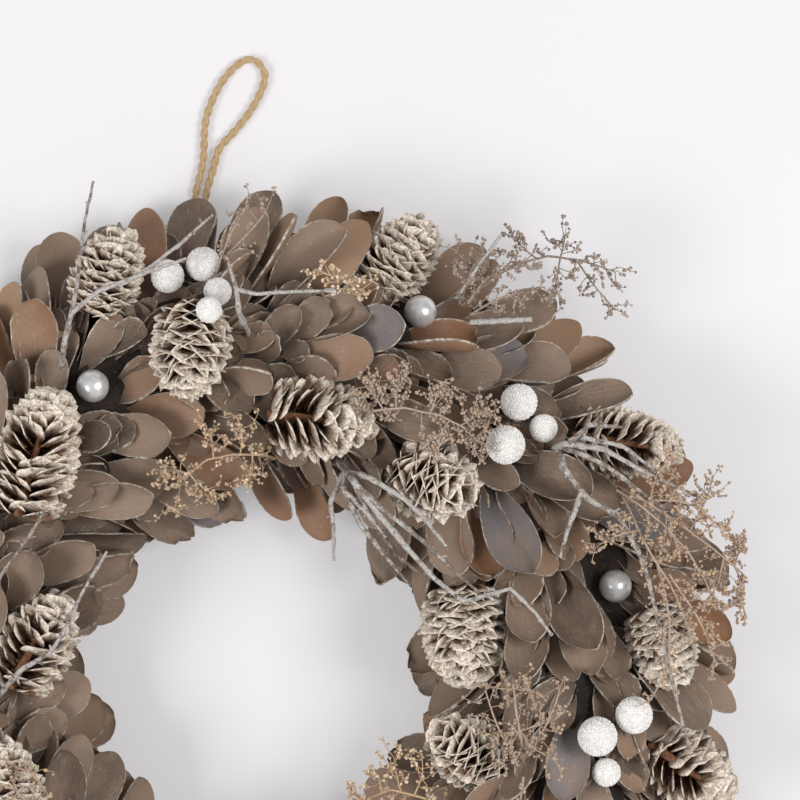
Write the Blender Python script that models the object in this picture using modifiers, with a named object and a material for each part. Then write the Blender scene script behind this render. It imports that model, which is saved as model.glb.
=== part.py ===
"""Wood shaving wreath with cones, beads, frosted berries, twigs and dried sprays.

It lies on its flat back with its face up. Lengths are in metres and +Z is up. The
origin is the middle of the wreath's hole, on the surface that the wreath lies on.
"""
import math
import random

import bmesh
import bpy
from mathutils import Matrix, Vector
from mathutils.bvhtree import BVHTree

MM = 0.001
GAP = 0.3 * MM                      # between pieces that rest on each other

# The bound straw ring and the mat of shaving roots that is wound over it
RING_RADIUS = 118 * MM              # to the middle of the ring's section
STRAW_HALF_WIDTH = 28.5 * MM
STRAW_RISE = 23 * MM                # from the widest level up to the crown
WIDEST_LEVEL = 20 * MM
FOOT_LEVEL = 7 * MM                 # where the straw turns in to its flat back
FOOT_INSET = 2 * MM
BACK_INSET = 8.5 * MM
MAT_CLEARANCE = 0.4 * MM
MAT_THICKNESS = 6 * MM
FACETS = 32                         # round the whole ring
SECTORS = 8                         # mats round the ring
SECTOR_ANGLE = math.tau / SECTORS

# Shavings
SHAVING_THICKNESS = 1.2 * MM
SHAVING_LENGTH = (34 * MM, 43 * MM)
SHAVING_WIDTH = (16 * MM, 19.5 * MM)
SHAVING_PITCH = 23.5 * MM           # between neighbours in a row
SHAVING_LANES = (2.35, -2.3, 1.6, -1.55, 0.8, -0.8, 0.0)
FILL_LANES = (0.4, -0.4, 1.2, -1.2)        # only where the mat still shows
ROOT_DEPTH = 3.2 * MM
STATIONS = ((0.0, 0.22), (0.4, 0.92), (0.75, 1.0), (1.0, 0.46))
STRAIGHT_SHARE = STATIONS[1][0]     # the root end doesn't bend
TRIES = 24
SEED = 2107
FLAT_ANGLE = math.radians(0.2)      # faces within this angle count as flat
TREE_TOP = 200 * MM                 # a level above everything
OUTER_REACH = 183 * MM
HOLE_REACH = 53.5 * MM
LOWEST_SHAVING = 1.3 * MM
OVERHANG = 12 * MM                  # the side rows fan out by this much
SECTOR_MARGIN = 4.5 * MM            # from a root to the ends of its mat
SHAVING_CLEARANCE = 0.35 * MM       # to the pieces that a shaving isn't fused to

# Steps in which a trimming is lowered on to what carries it
SETTLE_START = 6 * MM
SETTLE_STEP = 1 * MM
SETTLE_FINE = 0.1 * MM
SETTLE_FINEST = 0.02 * MM

# Cones: x, y, heading, pitch, length, width (mm and degrees)
CONES = (
    (-54, 147, 70, 10, 30, 23),
    (-23, 122, 265, 25, 30, 26),
    (52, 154, 50, 10, 30, 24),
    (22, 95, -5, 5, 33, 27),
    (65, 73, -20, 40, 28, 26),
    (-79, 82, 74, 5, 43, 28),
    (-82, 13, 60, 5, 33, 26),
    (77, 18, -85, 15, 32, 28),
    (133, 86, -8, 5, 36, 23),
    (149, 14, -70, 5, 27, 22),
    (78, -26, 140, 35, 26, 23),
    (158, -33, -35, 5, 33, 25),
    (-89, -40, 100, 5, 31, 24),
)
CONES_REPEATED = (0, 1, 2, 3, 4, 5, 8, 9)   # again after half a turn
CONE_COLUMNS = 10
CONE_ROWS = 7
CONE_NOTCH = 0.74                   # depth between two scales, as a share of radius
CONE_WIDEST = 0.38                  # place of the widest scales, as a share of length
CONE_TAPER = 0.66                   # from there to where the egg would close
SCALE_REACH = 0.6                   # a lip stands forward by this share of a row
CONE_BODY = 0.94                    # the rows end here, and the tip closes the cone

# Silver beads: x, y (mm)
BEADS = ((-59, 108), (61, 136), (133, 35))
BEAD_RADIUS = 6 * MM

# Frosted berries: picks of berries, each x, y, radius, height over the mat (mm)
BERRY_PICKS = (
    ((-32, 147, 6.2, 17), (-19, 151.5, 6.5, 18), (-13, 141, 5.2, 14), (-15.5, 134, 4.8, 6)),
    ((97, 102.5, 6.8, 16), (92, 87, 7.2, 15), (106, 93, 5.2, 14)),
    ((139, -12, 6.9, 16), (125.5, -19.5, 7.3, 15), (129, -33, 5.3, 12)),
)
BERRY_STALK_RADIUS = 0.8 * MM
BUTT_RISE = 1.5 * MM                # the middle of a butt starts this far over the mat

# Twigs: bundles of sticks; a stick is its points x, y, z (mm). The first stick of a
# bundle starts on the mat, and the others branch off it.
TWIG_BUNDLES = (
    (
        ((-71, 113, 56), (-68, 123, 72), (-66, 132, 82), (-64, 142, 84), (-63, 155, 82),
         (-62, 169, 76), (-60, 184, 72)),
        ((-66, 134, 82), (-56, 142, 85), (-41, 148, 86), (-27, 159, 84), (-15, 170, 79)),
        ((-43, 147, 86), (-33, 151, 85), (-24, 154, 84)),
    ),
    (
        ((-2, 126, 56), (-5, 135, 70), (-6, 143, 75), (1, 141, 76), (15, 142, 74),
         (30, 142, 70)),
        ((-6, 142, 75), (-9, 153, 72)),
    ),
    (
        ((28, 83, 58), (36, 74, 74), (45, 65, 76), (59, 54, 74), (71, 43, 72), (83, 32, 66)),
        ((30, 80, 60), (42, 75, 76), (55, 67, 78), (62, 60, 78), (70, 50, 74)),
        ((36, 75, 73), (46, 61, 74), (56, 49, 74), (66, 38, 72), (76, 30, 70), (93, 35, 74),
         (102, 26, 74), (108, 18, 70)),
        ((29, 82, 59), (33, 70, 70), (42, 61, 70), (48, 53, 62)),
        ((32, 72, 69), (39, 57, 64), (48, 46, 58), (56, 36, 52)),
        ((29, 82, 58), (28, 66, 62), (29, 55, 56), (29, 44, 46)),
        ((36, 75, 73), (43, 59, 62), (52, 46, 54), (61, 39, 50)),
    ),
    (
        ((108, 84, 60), (113, 87, 74), (127, 85, 80), (143, 76, 80), (163, 67, 72)),
        ((109, 84, 62), (120, 89, 79), (134, 86, 82), (149, 75, 78)),
        ((109, 83, 62), (117, 84, 77), (128, 79, 80), (141, 69, 78), (154, 60, 72)),
        ((109, 82, 62), (112, 78, 72), (121, 67, 80), (132, 61, 84), (139, 49, 84),
         (143, 38, 84), (146, 24, 82), (149, 13, 80), (153, -5, 74), (158, -24, 66)),
        ((114, 88, 76), (122, 94, 80), (134, 93, 82)),
        ((119, 70, 79), (114, 57, 76), (111, 46, 70)),
    ),
    (
        ((-96, -8, 58), (-84, 5, 72), (-74, 11, 76), (-69, 18, 76), (-62, 33, 74),
         (-53, 48, 68)),
        ((-95, -7, 59), (-97, 15, 70), (-91, 39, 76), (-81, 53, 78), (-74, 64, 76)),
    ),
)
TWIG_RADII = (1.1 * MM, 0.5 * MM)   # at the butt and at the tip
TWIGS_REPEATED = ((0, 180), (2, -120), (1, 120))    # bundle, turn in degrees
CREST_RISE = 55 * MM                # twigs and sprays stay under this dome
CREST_HALF_WIDTH = 75 * MM
FORK_RANGE = (0.05, 0.95)           # of a stick's straight, where others branch off
SIDE_STICK = 0.8                    # width of a branched stick beside the first

# Dried sprays: a stem's points and the tips of its branchlets (mm)
SPRAYS = (
    (((11, 80, 58), (3, 83, 66), (-8, 83, 70), (-17, 81, 68), (-26, 74, 62)),
     ((-4, 93, 74), (-17, 94, 74), (-3, 72, 68), (-14, 68, 62), (-29, 61, 52), (-34, 76, 60))),
    (((35, 94, 58), (44, 99, 73), (55, 100, 77), (68, 97, 77), (78, 92, 73)),
     ((41, 108, 76), (54, 110, 80), (69, 107, 80), (84, 100, 74), (86, 86, 70), (67, 87, 75))),
    (((79, 131, 54), (82, 143, 56), (94, 152, 50), (108, 156, 44), (123, 154, 38)),
     ((73, 158, 52), (95, 163, 48), (114, 162, 40), (133, 150, 34), (133, 136, 32),
      (110, 141, 42))),
    (((126, 74, 62), (139, 68, 74), (154, 58, 70), (168, 48, 58), (179, 39, 46)),
     ((150, 80, 74), (167, 72, 62), (181, 52, 46), (179, 26, 40), (165, 30, 60),
      (147, 50, 74))),
    (((99, -32, 58), (97, -20, 70), (95, -9, 72), (94, 2, 68)),
     ((87, -1, 68), (101, -2, 70), (108, -13, 70), (87, -18, 68), (108, -27, 68),
      (90, -30, 66))),
    (((74, -50, 52), (62, -42, 60), (50, -39, 57), (39, -44, 50)),
     ((51, -27, 52), (61, -26, 54), (44, -32, 52), (36, -42, 46), (46, -49, 50))),
)
SPRAY_STEM_RADII = (0.7 * MM, 0.45 * MM)
BRANCHLET_RADIUS = 0.4 * MM
BUD_RADIUS = 1.1 * MM
BRANCHING = (0.7, 0.3)              # a branchlet starts between two points of the stem
SPRAYS_REPEATED = ((1, 180), (3, 180))              # spray, turn in degrees

# The twine hanging loop lies on the surface at the top of the wreath (mm)
TWINE_RADIUS = 1.6 * MM
TWINE_ROUTE = (
    (-20.5, 139.5, 1.75), (-21.6, 150, 1.75), (-23.0, 164, 1.75), (-24.2, 178, 1.75),
    (-21.2, 193, 1.75), (-20.0, 209, 1.75), (-14.6, 222, 1.75), (-7.4, 230, 1.75),
    (-1.6, 231, 1.75), (2.2, 225, 1.75), (-1.4, 215, 1.75), (-8.2, 205.5, 1.75),
    (-14.8, 198, 1.75), (-17.3, 190, 1.75), (-20.3, 178, 1.75), (-19.2, 164, 1.75),
    (-17.7, 150, 1.75), (-16.4, 139.9, 1.75),
)
TWINE_POINTS = 31

# Colours are linear; then roughness and metallic
STRAW = ("straw", (0.45, 0.30, 0.13), 0.9, 0.0)
TAUPE_WOOD = ("taupe_wood", (0.13, 0.10, 0.078), 0.8, 0.0)
LIMED_CONE = ("limed_cone", (0.45, 0.38, 0.31), 0.85, 0.0)
SILVER = ("silver", (0.55, 0.56, 0.56), 0.25, 0.9)
FROST = ("frost", (0.88, 0.87, 0.85), 0.9, 0.0)
LIMED_TWIG = ("limed_twig", (0.42, 0.39, 0.36), 0.85, 0.0)
DRIED_STEM = ("dried_stem", (0.36, 0.25, 0.16), 0.9, 0.0)
TWINE = ("twine", (0.58, 0.38, 0.18), 0.9, 0.0)


def clear_scene():
    """Remove what the scene held before."""
    for item in list(bpy.data.objects):
        bpy.data.objects.remove(item, do_unlink=True)


def new_collection(name):
    """A collection linked to the scene."""
    group = bpy.data.collections.new(name)
    bpy.context.scene.collection.children.link(group)
    return group


def make_material(finish):
    """A Principled material, made once for each finish."""
    name, colour, roughness, metallic = finish
    found = bpy.data.materials.get(name)
    if found:
        return found
    made = bpy.data.materials.new(name)
    made.use_nodes = True
    shader = made.node_tree.nodes["Principled BSDF"]
    shader.inputs["Base Color"].default_value = (*colour, 1.0)
    shader.inputs["Roughness"].default_value = roughness
    shader.inputs["Metallic"].default_value = metallic
    return made


def add_object(name, bm, finish, group):
    """Put a bmesh into the scene as a named object."""
    mesh = bpy.data.meshes.new(name)
    bmesh.ops.recalc_face_normals(bm, faces=bm.faces)
    bm.to_mesh(mesh)
    bm.free()
    made = bpy.data.objects.new(name, mesh)
    mesh.materials.append(make_material(finish))
    group.objects.link(made)
    return made


def evaluated_mesh(item):
    """A plain mesh of an object as its modifiers or its curve shape it."""
    bpy.context.view_layer.update()
    graph = bpy.context.evaluated_depsgraph_get()
    return bpy.data.meshes.new_from_object(item.evaluated_get(graph))


def tidy_flats(mesh):
    """Merge the slivers that a union leaves in flat faces."""
    bm = bmesh.new()
    bm.from_mesh(mesh)
    bmesh.ops.dissolve_limit(bm, angle_limit=FLAT_ANGLE, use_dissolve_boundaries=False,
                             verts=bm.verts, edges=bm.edges)
    bmesh.ops.triangulate(bm, faces=bm.faces)
    bm.to_mesh(mesh)
    bm.free()


def fuse(name, pieces, finish, solver="EXACT"):
    """Join loose pieces into one body with a Boolean union, and name it."""
    body = pieces[0]
    if len(pieces) > 1:
        joined = new_collection("joined")
        for piece in pieces[1:]:
            for owner in list(piece.users_collection):
                owner.objects.unlink(piece)
            joined.objects.link(piece)
        union = body.modifiers.new("union", "BOOLEAN")
        union.operation = "UNION"
        union.operand_type = "COLLECTION"
        union.collection = joined
        union.solver = solver
        mesh = evaluated_mesh(body)
        body.modifiers.clear()
        body.data = mesh
        for piece in pieces[1:]:
            bpy.data.objects.remove(piece, do_unlink=True)
        bpy.data.collections.remove(joined)
    tidy_flats(body.data)
    body.name = name
    body.data.name = name
    body.data.materials.clear()
    body.data.materials.append(make_material(finish))
    return body


def tube(name, points, radii, finish, group, resolution=0):
    """A tapered stick or tube along points, as a closed mesh."""
    curve = bpy.data.curves.new(name, "CURVE")
    curve.dimensions = "3D"
    curve.bevel_depth = 1.0
    curve.bevel_resolution = resolution
    curve.use_fill_caps = True
    spline = curve.splines.new("POLY")
    spline.points.add(len(points) - 1)
    last = len(points) - 1
    for index, (place, point) in enumerate(zip(points, spline.points)):
        point.co = (*place, 1.0)
        share = index / last
        point.radius = radii[0] * (1 - share) + radii[1] * share
    rod = bpy.data.objects.new(name, curve)
    group.objects.link(rod)
    mesh = evaluated_mesh(rod)
    bpy.data.objects.remove(rod, do_unlink=True)
    bm = bmesh.new()
    bm.from_mesh(mesh)
    bpy.data.meshes.remove(mesh)
    bmesh.ops.remove_doubles(bm, verts=bm.verts, dist=0.00001)
    return add_object(name, bm, finish, group)


def needle(name, start, end, radii, finish, group):
    """A three-sided needle from one point to another, wider or finer at its end."""
    run = end - start
    bm = bmesh.new()
    bmesh.ops.create_cone(bm, cap_ends=True, segments=3, radius1=radii[0], radius2=radii[1],
                          depth=run.length)
    bmesh.ops.triangulate(bm, faces=bm.faces)
    pose = run.to_track_quat("Z", "Y").to_matrix().to_4x4()
    pose.translation = (start + end) / 2
    bm.transform(pose)
    return add_object(name, bm, finish, group)


def world_tree(item):
    """A search tree of an object's surface, in world space."""
    bm = bmesh.new()
    bm.from_mesh(item.data)
    bm.transform(item.matrix_world)
    tree = BVHTree.FromBMesh(bm)
    bm.free()
    return tree


def arch(offset):
    """The section's side, shoulder, crown, shoulder and side, grown by an offset."""
    half = STRAW_HALF_WIDTH + offset
    rise = STRAW_RISE + offset
    corners = []
    for step in (2, 1, 0, -1, -2):
        angle = math.radians(45 * step)
        corners.append((half * math.sin(angle), WIDEST_LEVEL + rise * math.cos(angle)))
    return corners


def rim(offset, level):
    """The arch with its two lower rims, from the outside over the crown to the hole."""
    half = STRAW_HALF_WIDTH + offset - FOOT_INSET
    return [(half, level), *arch(offset), (-half, level)]


MAT_RIM = rim(MAT_CLEARANCE + MAT_THICKNESS, FOOT_LEVEL - 0.5 * MM)


def clockwise_frame(theta):
    """Radial, clockwise and up directions at an angle round the ring."""
    radial = Vector((math.cos(theta), math.sin(theta), 0))
    clockwise = Vector((math.sin(theta), -math.cos(theta), 0))
    return radial, clockwise, Vector((0, 0, 1))


def facet_shrink(theta):
    """How far a flat facet lies inside the round at an angle."""
    facet = math.tau / FACETS
    return math.cos(facet / 2) / math.cos(theta % facet - facet / 2)


def mat_point(theta, lane):
    """A point on the mat, with the outward slope and the normal there.

    Lane 0 is the crown, 1 and 2 the outer shoulder and side, 3 the outer lower rim,
    and negative lanes are the same towards the hole.
    """
    radial, _, up = clockwise_frame(theta)
    place = 3 - lane
    first = min(int(place), len(MAT_RIM) - 2)
    share = place - first
    (r0, z0), (r1, z1) = MAT_RIM[first], MAT_RIM[first + 1]
    reach = (RING_RADIUS + r0 + (r1 - r0) * share) * facet_shrink(theta)
    slope = math.radians(45 * max(-2.2, min(2.2, lane)))
    normal = radial * math.sin(slope) + up * math.cos(slope)
    outward = radial * math.cos(slope) - up * math.sin(slope)
    return radial * reach + up * (z0 + (z1 - z0) * share), outward, normal


def straw_ring(group):
    """The bound straw ring, turned from its section, with a flat back."""
    back = STRAW_HALF_WIDTH - BACK_INSET
    section = [(-back, 0.0), *reversed(rim(0.0, FOOT_LEVEL)), (back, 0.0)]
    mesh = bpy.data.meshes.new("straw_ring")
    points = [(RING_RADIUS + r, 0.0, z) for r, z in section]
    edges = [(i, (i + 1) % len(points)) for i in range(len(points))]
    mesh.from_pydata(points, edges, [])
    ring = bpy.data.objects.new("straw_ring", mesh)
    group.objects.link(ring)
    mesh.materials.append(make_material(STRAW))
    turn = ring.modifiers.new("turn", "SCREW")
    turn.steps = FACETS
    turn.render_steps = FACETS
    turn.use_merge_vertices = True
    turn.merge_threshold = 0.00001
    return ring


def mat(sector, group):
    """One mat: the bed of shaving roots over an eighth of the ring."""
    outer = MAT_RIM
    inner = rim(MAT_CLEARANCE, FOOT_LEVEL)
    slit = math.asin(GAP / (RING_RADIUS - STRAW_HALF_WIDTH - MAT_THICKNESS))
    start = sector * SECTOR_ANGLE + slit / 2
    bm = bmesh.new()
    steps = FACETS // SECTORS
    rings = []
    for step in range(steps + 1):
        radial, _, up = clockwise_frame(start + (SECTOR_ANGLE - slit) * step / steps)
        outline = [*outer, *reversed(inner)]
        rings.append([bm.verts.new(radial * (RING_RADIUS + r) + up * z) for r, z in outline])
    count = len(rings[0])
    for near, far in zip(rings, rings[1:]):
        for i in range(count):
            j = (i + 1) % count
            bm.faces.new((near[i], near[j], far[j], far[i]))
    half = len(outer)
    for end in (rings[0], rings[-1]):
        for i in range(half - 1):
            bm.faces.new((end[i], end[i + 1], end[count - 2 - i], end[count - 1 - i]))
    return add_object(f"mat_{sector + 1}", bm, TAUPE_WOOD, group)


def shaving_strip(length, width, bend, twist, swell=0.0):
    """One oval shaving as a closed loft: root at the origin, along +X, face up +Z.

    The strip bends down evenly and twists along its length. Swell grows it all round,
    to test the clearance to its neighbours.
    """
    bm = bmesh.new()
    rows = []
    place = Vector((0, 0, 0))
    before = 0.0
    for share, half_share in STATIONS:
        curl = max(0.0, (share - STRAIGHT_SHARE) / (1 - STRAIGHT_SHARE))
        curl_before = max(0.0, (before - STRAIGHT_SHARE) / (1 - STRAIGHT_SHARE))
        middle = bend * (curl + curl_before) / 2
        place = place + Vector((math.cos(middle), 0, -math.sin(middle))) * (share - before) * length
        before = share
        heading = bend * curl
        along = Vector((math.cos(heading), 0, -math.sin(heading)))
        face = Vector((math.sin(heading), 0, math.cos(heading)))
        lean = twist * curl
        side = Vector((0, 1, 0)) * math.cos(lean) + face * math.sin(lean)
        up = along.cross(side)
        spot = place + along * (swell if share == 1.0 else 0.0)
        half = side * (half_share * width / 2 + swell)
        rise = up * (SHAVING_THICKNESS / 2 + swell)
        rows.append([bm.verts.new(spot + corner) for corner in
                     (-half + rise, half + rise, half - rise, -half - rise)])
    bm.faces.new(rows[0])
    bm.faces.new(reversed(rows[-1]))
    for (a, b, c, d), (e, f, g, h) in zip(rows, rows[1:]):
        for corners in ((a, f, b), (a, e, f), (b, f, g), (b, g, c),
                        (d, c, g), (d, g, h), (d, h, e), (d, e, a)):
            bm.faces.new(corners)
    return bm


def shaving_matrix(theta, lane, turn, lift, roll, shift=0.0):
    """Where a shaving stands: turned from clockwise towards the outside, and lifted."""
    _, clockwise, _ = clockwise_frame(theta)
    point, outward, normal = mat_point(theta, lane)
    run = clockwise * math.cos(turn) + outward * math.sin(turn)
    along = run * math.cos(lift) + normal * math.sin(lift)
    face = normal * math.cos(lift) - run * math.sin(lift)
    side = face.cross(along)
    face_rolled = face * math.cos(roll) + side * math.sin(roll)
    side_rolled = face_rolled.cross(along)
    root = point - normal * ROOT_DEPTH + side * shift
    frame = Matrix((along, side_rolled, face_rolled)).transposed().to_4x4()
    frame.translation = root
    return frame


def draw_shavings(index, lane, theta):
    """The draws for one place in a row: one shaving, or a pair on one root."""
    for attempt in range(TRIES):
        rng = random.Random(SEED + index * 100 + attempt)
        loose = 0.5 + 1.3 * attempt / TRIES
        spot = theta + rng.uniform(-3, 3) * MM * loose / RING_RADIUS
        row = lane + rng.uniform(-0.12, 0.12) * loose
        row = max(-2.6, min(2.6, row))
        turn = math.radians(36 * lane + rng.uniform(-20, 20) * loose)
        lift = math.radians(27 + 15 * abs(lane) + rng.uniform(-7, 9) * loose)
        roll = math.radians(rng.uniform(-20, 20) * loose)
        length = rng.uniform(*SHAVING_LENGTH)
        width = rng.uniform(*SHAVING_WIDTH)
        bend = math.radians(rng.uniform(-12, 34))
        twist = math.radians(rng.uniform(-14, 14))
        paired = rng.random() < 0.3 and attempt < TRIES // 2
        if not paired:
            yield [(spot, row, turn, lift, roll, 0.0, length, width, bend, twist)]
            continue
        splay = math.radians(rng.uniform(20, 28))
        wing = math.radians(rng.uniform(8, 24))
        shift = width * 0.34
        yield [
            (spot, row, turn + side * splay, lift, side * wing, side * shift,
             length * (1 - 0.06 * side), width, bend, twist)
            for side in (-1, 1)
        ]


class Neighbours:
    """The pieces that are already placed, and what a new shaving has to clear."""

    def __init__(self):
        self.items = []
        self.guards = []

    def add(self, item_or_bm, owner):
        """Remember a piece's surface and which node it belongs to."""
        if isinstance(item_or_bm, bmesh.types.BMesh):
            bm = item_or_bm
            tree = BVHTree.FromBMesh(bm)
            points = [v.co.copy() for v in bm.verts]
        else:
            tree = world_tree(item_or_bm)
            points = [item_or_bm.matrix_world @ v.co for v in item_or_bm.data.vertices]
        centre = sum(points, Vector()) / len(points)
        reach = max((p - centre).length for p in points)
        self.items.append((tree, owner, centre, reach))

    def touches(self, bm, own=None, grown=None):
        """Whether a bmesh crosses another node, or, as it is, its own node."""
        points = [v.co for v in bm.verts]
        centre = sum(points, Vector()) / len(points)
        reach = max((p - centre).length for p in points)
        tree = BVHTree.FromBMesh(bm)
        grown_tree = BVHTree.FromBMesh(grown) if grown else tree
        for other, owner, middle, radius in self.items:
            if owner == f"mat_{own}" or (middle - centre).length > radius + reach + 2 * MM:
                continue
            mine = tree if owner == own else grown_tree
            if mine.overlap(other):
                return True
        return False

    def covered(self, bm):
        """Whether the place of a bmesh is already covered, as seen from above."""
        for vert in bm.verts:
            above = Vector((vert.co.x, vert.co.y, TREE_TOP))
            drop = above.z - vert.co.z
            hit = any(
                tree.ray_cast(above, Vector((0, 0, -1)), drop)[0]
                for tree, owner, _, _ in self.items if not str(owner).startswith("mat_")
            )
            if not hit:
                return False
        return True

    def hides(self, bm):
        """Whether a bmesh covers a guarded piece as seen from above."""
        for x, y, z, radius in self.guards:
            for vert in bm.verts:
                if vert.co.z > z and math.hypot(vert.co.x - x, vert.co.y - y) < radius:
                    return True
        return False


def place_shavings(mats, near, group):
    """Fill each mat with rows of shavings that clear each other and the trimmings."""
    grown = {sector: [item] for sector, item in enumerate(mats)}
    index = 0
    count = 0
    rows = [(lane, False) for lane in SHAVING_LANES] + [(lane, True) for lane in FILL_LANES]
    for lane, filling in rows:
        side = OVERHANG if lane > 1 else -OVERHANG if lane < -1 else 0
        row_radius = mat_point(0.0, lane)[0].x / facet_shrink(0.0) + side
        places = round(math.tau * row_radius / SHAVING_PITCH)
        for place in range(places):
            index += 1
            theta = math.tau * (place + 0.5 * (index % 2)) / places % math.tau
            sector = int(theta / SECTOR_ANGLE) % SECTORS
            low = sector * SECTOR_ANGLE + SECTOR_MARGIN / row_radius
            high = (sector + 1) * SECTOR_ANGLE - SECTOR_MARGIN / row_radius
            for draw in draw_shavings(index, lane, theta):
                accepted = []
                for spot, row, turn, lift, roll, shift, length, width, bend, twist in draw:
                    spot = min(max(spot, low), high)
                    frame = shaving_matrix(spot, row, turn, lift, roll, shift)
                    bm = shaving_strip(length, width, bend, twist)
                    bm.transform(frame)
                    wide = shaving_strip(length, width, bend, twist, SHAVING_CLEARANCE)
                    wide.transform(frame)
                    reaches = [math.hypot(v.co.x, v.co.y) for v in bm.verts]
                    clear = (min(v.co.z for v in bm.verts) > LOWEST_SHAVING
                             and max(reaches) < OUTER_REACH
                             and min(reaches) > HOLE_REACH
                             and not near.hides(bm)
                             and not near.touches(bm, sector, wide))
                    wide.free()
                    if clear and not (filling and near.covered(bm)):
                        accepted.append(bm)
                    else:
                        bm.free()
                        break
                if len(accepted) < len(draw):
                    for bm in accepted:
                        bm.free()
                    continue
                for bm in accepted:
                    near.add(bm, sector)
                    count += 1
                    grown[sector].append(add_object(f"shaving_{count}", bm, TAUPE_WOOD, group))
                break
    for sector, pieces in grown.items():
        fuse(f"shavings_{sector + 1}", pieces, TAUPE_WOOD, "MANIFOLD")


def crosses(item, near):
    """Whether an object crosses a piece that is already placed."""
    bpy.context.view_layer.update()
    bm = bmesh.new()
    bm.from_mesh(item.data)
    bm.transform(item.matrix_world)
    blocked = near.touches(bm)
    bm.free()
    return blocked


def settle(item, direction, near):
    """Lower a piece along a direction until it rests a small gap above the others."""
    base = item.location.copy()
    offset = -SETTLE_START
    item.location = base + direction * offset
    while crosses(item, near):
        offset -= SETTLE_STEP
        item.location = base + direction * offset
    step = SETTLE_STEP
    while step > SETTLE_FINEST:
        item.location = base + direction * (offset + step)
        if crosses(item, near):
            step /= 2
        else:
            offset += step
    item.location = base + direction * (offset - GAP)
    bpy.context.view_layer.update()


def section_place(x, y, size):
    """The angle, and the slope's normal, for a piece of some size at a plan place."""
    theta = math.atan2(y, x)
    reach = math.hypot(x, y) - RING_RADIUS
    sine = reach / (STRAW_HALF_WIDTH + MAT_CLEARANCE + MAT_THICKNESS + size)
    slope = math.asin(max(-0.97, min(0.97, sine)))
    radial, _, up = clockwise_frame(theta)
    normal = radial * math.sin(slope) + up * math.cos(slope)
    middle = radial * RING_RADIUS + up * WIDEST_LEVEL
    across = STRAW_HALF_WIDTH + MAT_CLEARANCE + MAT_THICKNESS + size
    tall = STRAW_RISE + MAT_CLEARANCE + MAT_THICKNESS + size
    centre = middle + radial * across * math.sin(slope) + up * tall * math.cos(slope)
    return centre, normal


def cone_envelope(share):
    """A cone's radius along its length, as a share of its widest."""
    return math.sqrt(1 - ((share - CONE_WIDEST) / CONE_TAPER) ** 2)


def cone(name, spec, turn, near, group):
    """A small conifer cone: an egg whose scales stand out in alternate rows."""
    x, y, heading, pitch, length, width = spec
    length *= MM
    width *= MM
    bm = bmesh.new()
    bmesh.ops.create_uvsphere(bm, u_segments=CONE_COLUMNS, v_segments=CONE_ROWS + 1, radius=1)
    for vert in bm.verts:
        polar = math.acos(max(-1.0, min(1.0, -vert.co.z)))
        row = round(polar / math.pi * (CONE_ROWS + 1))
        if row in (0, CONE_ROWS + 1):
            vert.co = Vector((0, 0, 0 if row == 0 else length))
            continue
        angle = math.atan2(vert.co.y, vert.co.x)
        column = round(angle / math.tau * CONE_COLUMNS)
        lip = (row + column) % 2 == 0
        share = (row - 0.5) / CONE_ROWS
        radius = width / 2 * cone_envelope(share) * (1.0 if lip else CONE_NOTCH)
        forward = SCALE_REACH * length / CONE_ROWS if lip and row < CONE_ROWS else 0.0
        vert.co = Vector((radius * math.cos(angle), radius * math.sin(angle),
                          share * length * CONE_BODY + forward))
    bmesh.ops.translate(bm, verts=bm.verts, vec=(0, 0, -length / 2))
    bmesh.ops.triangulate(bm, faces=bm.faces)
    made = add_object(name, bm, LIMED_CONE, group)
    whirl = Matrix.Rotation(turn, 4, "Z")
    centre, normal = section_place(x * MM, y * MM, width / 2)
    azimuth = math.radians(heading)
    rise = math.radians(pitch)
    axis = Vector((math.cos(azimuth) * math.cos(rise), math.sin(azimuth) * math.cos(rise),
                   math.sin(rise)))
    pose = axis.to_track_quat("Z", "Y").to_matrix().to_4x4()
    pose.translation = centre
    made.matrix_world = whirl @ pose
    bpy.context.view_layer.update()
    settle(made, -(whirl @ normal), near)
    near.add(made, name)
    spot = made.matrix_world.translation
    for end in (-0.25, 0.25):
        guard = spot + (whirl @ axis) * length * end
        near.guards.append((guard.x, guard.y, guard.z, width * 0.36))


def bead(name, place, turn, near, group):
    """A round silver bead."""
    x, y = place
    bm = bmesh.new()
    bmesh.ops.create_uvsphere(bm, u_segments=8, v_segments=6, radius=BEAD_RADIUS)
    made = add_object(name, bm, SILVER, group)
    whirl = Matrix.Rotation(turn, 4, "Z")
    centre, normal = section_place(x * MM, y * MM, BEAD_RADIUS)
    made.location = whirl @ centre
    settle(made, -(whirl @ normal), near)
    near.add(made, name)
    spot = made.location
    near.guards.append((spot.x, spot.y, spot.z, BEAD_RADIUS * 0.95))


def mat_height(x, y):
    """The mat's level straight below a plan place."""
    theta = math.atan2(y, x)
    reach = math.hypot(x, y) / facet_shrink(theta) - RING_RADIUS
    for (r0, z0), (r1, z1) in zip(MAT_RIM, MAT_RIM[1:]):
        if r1 <= reach <= r0 and r0 > r1:
            return z0 + (z1 - z0) * (r0 - reach) / (r0 - r1)
    return WIDEST_LEVEL


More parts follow.
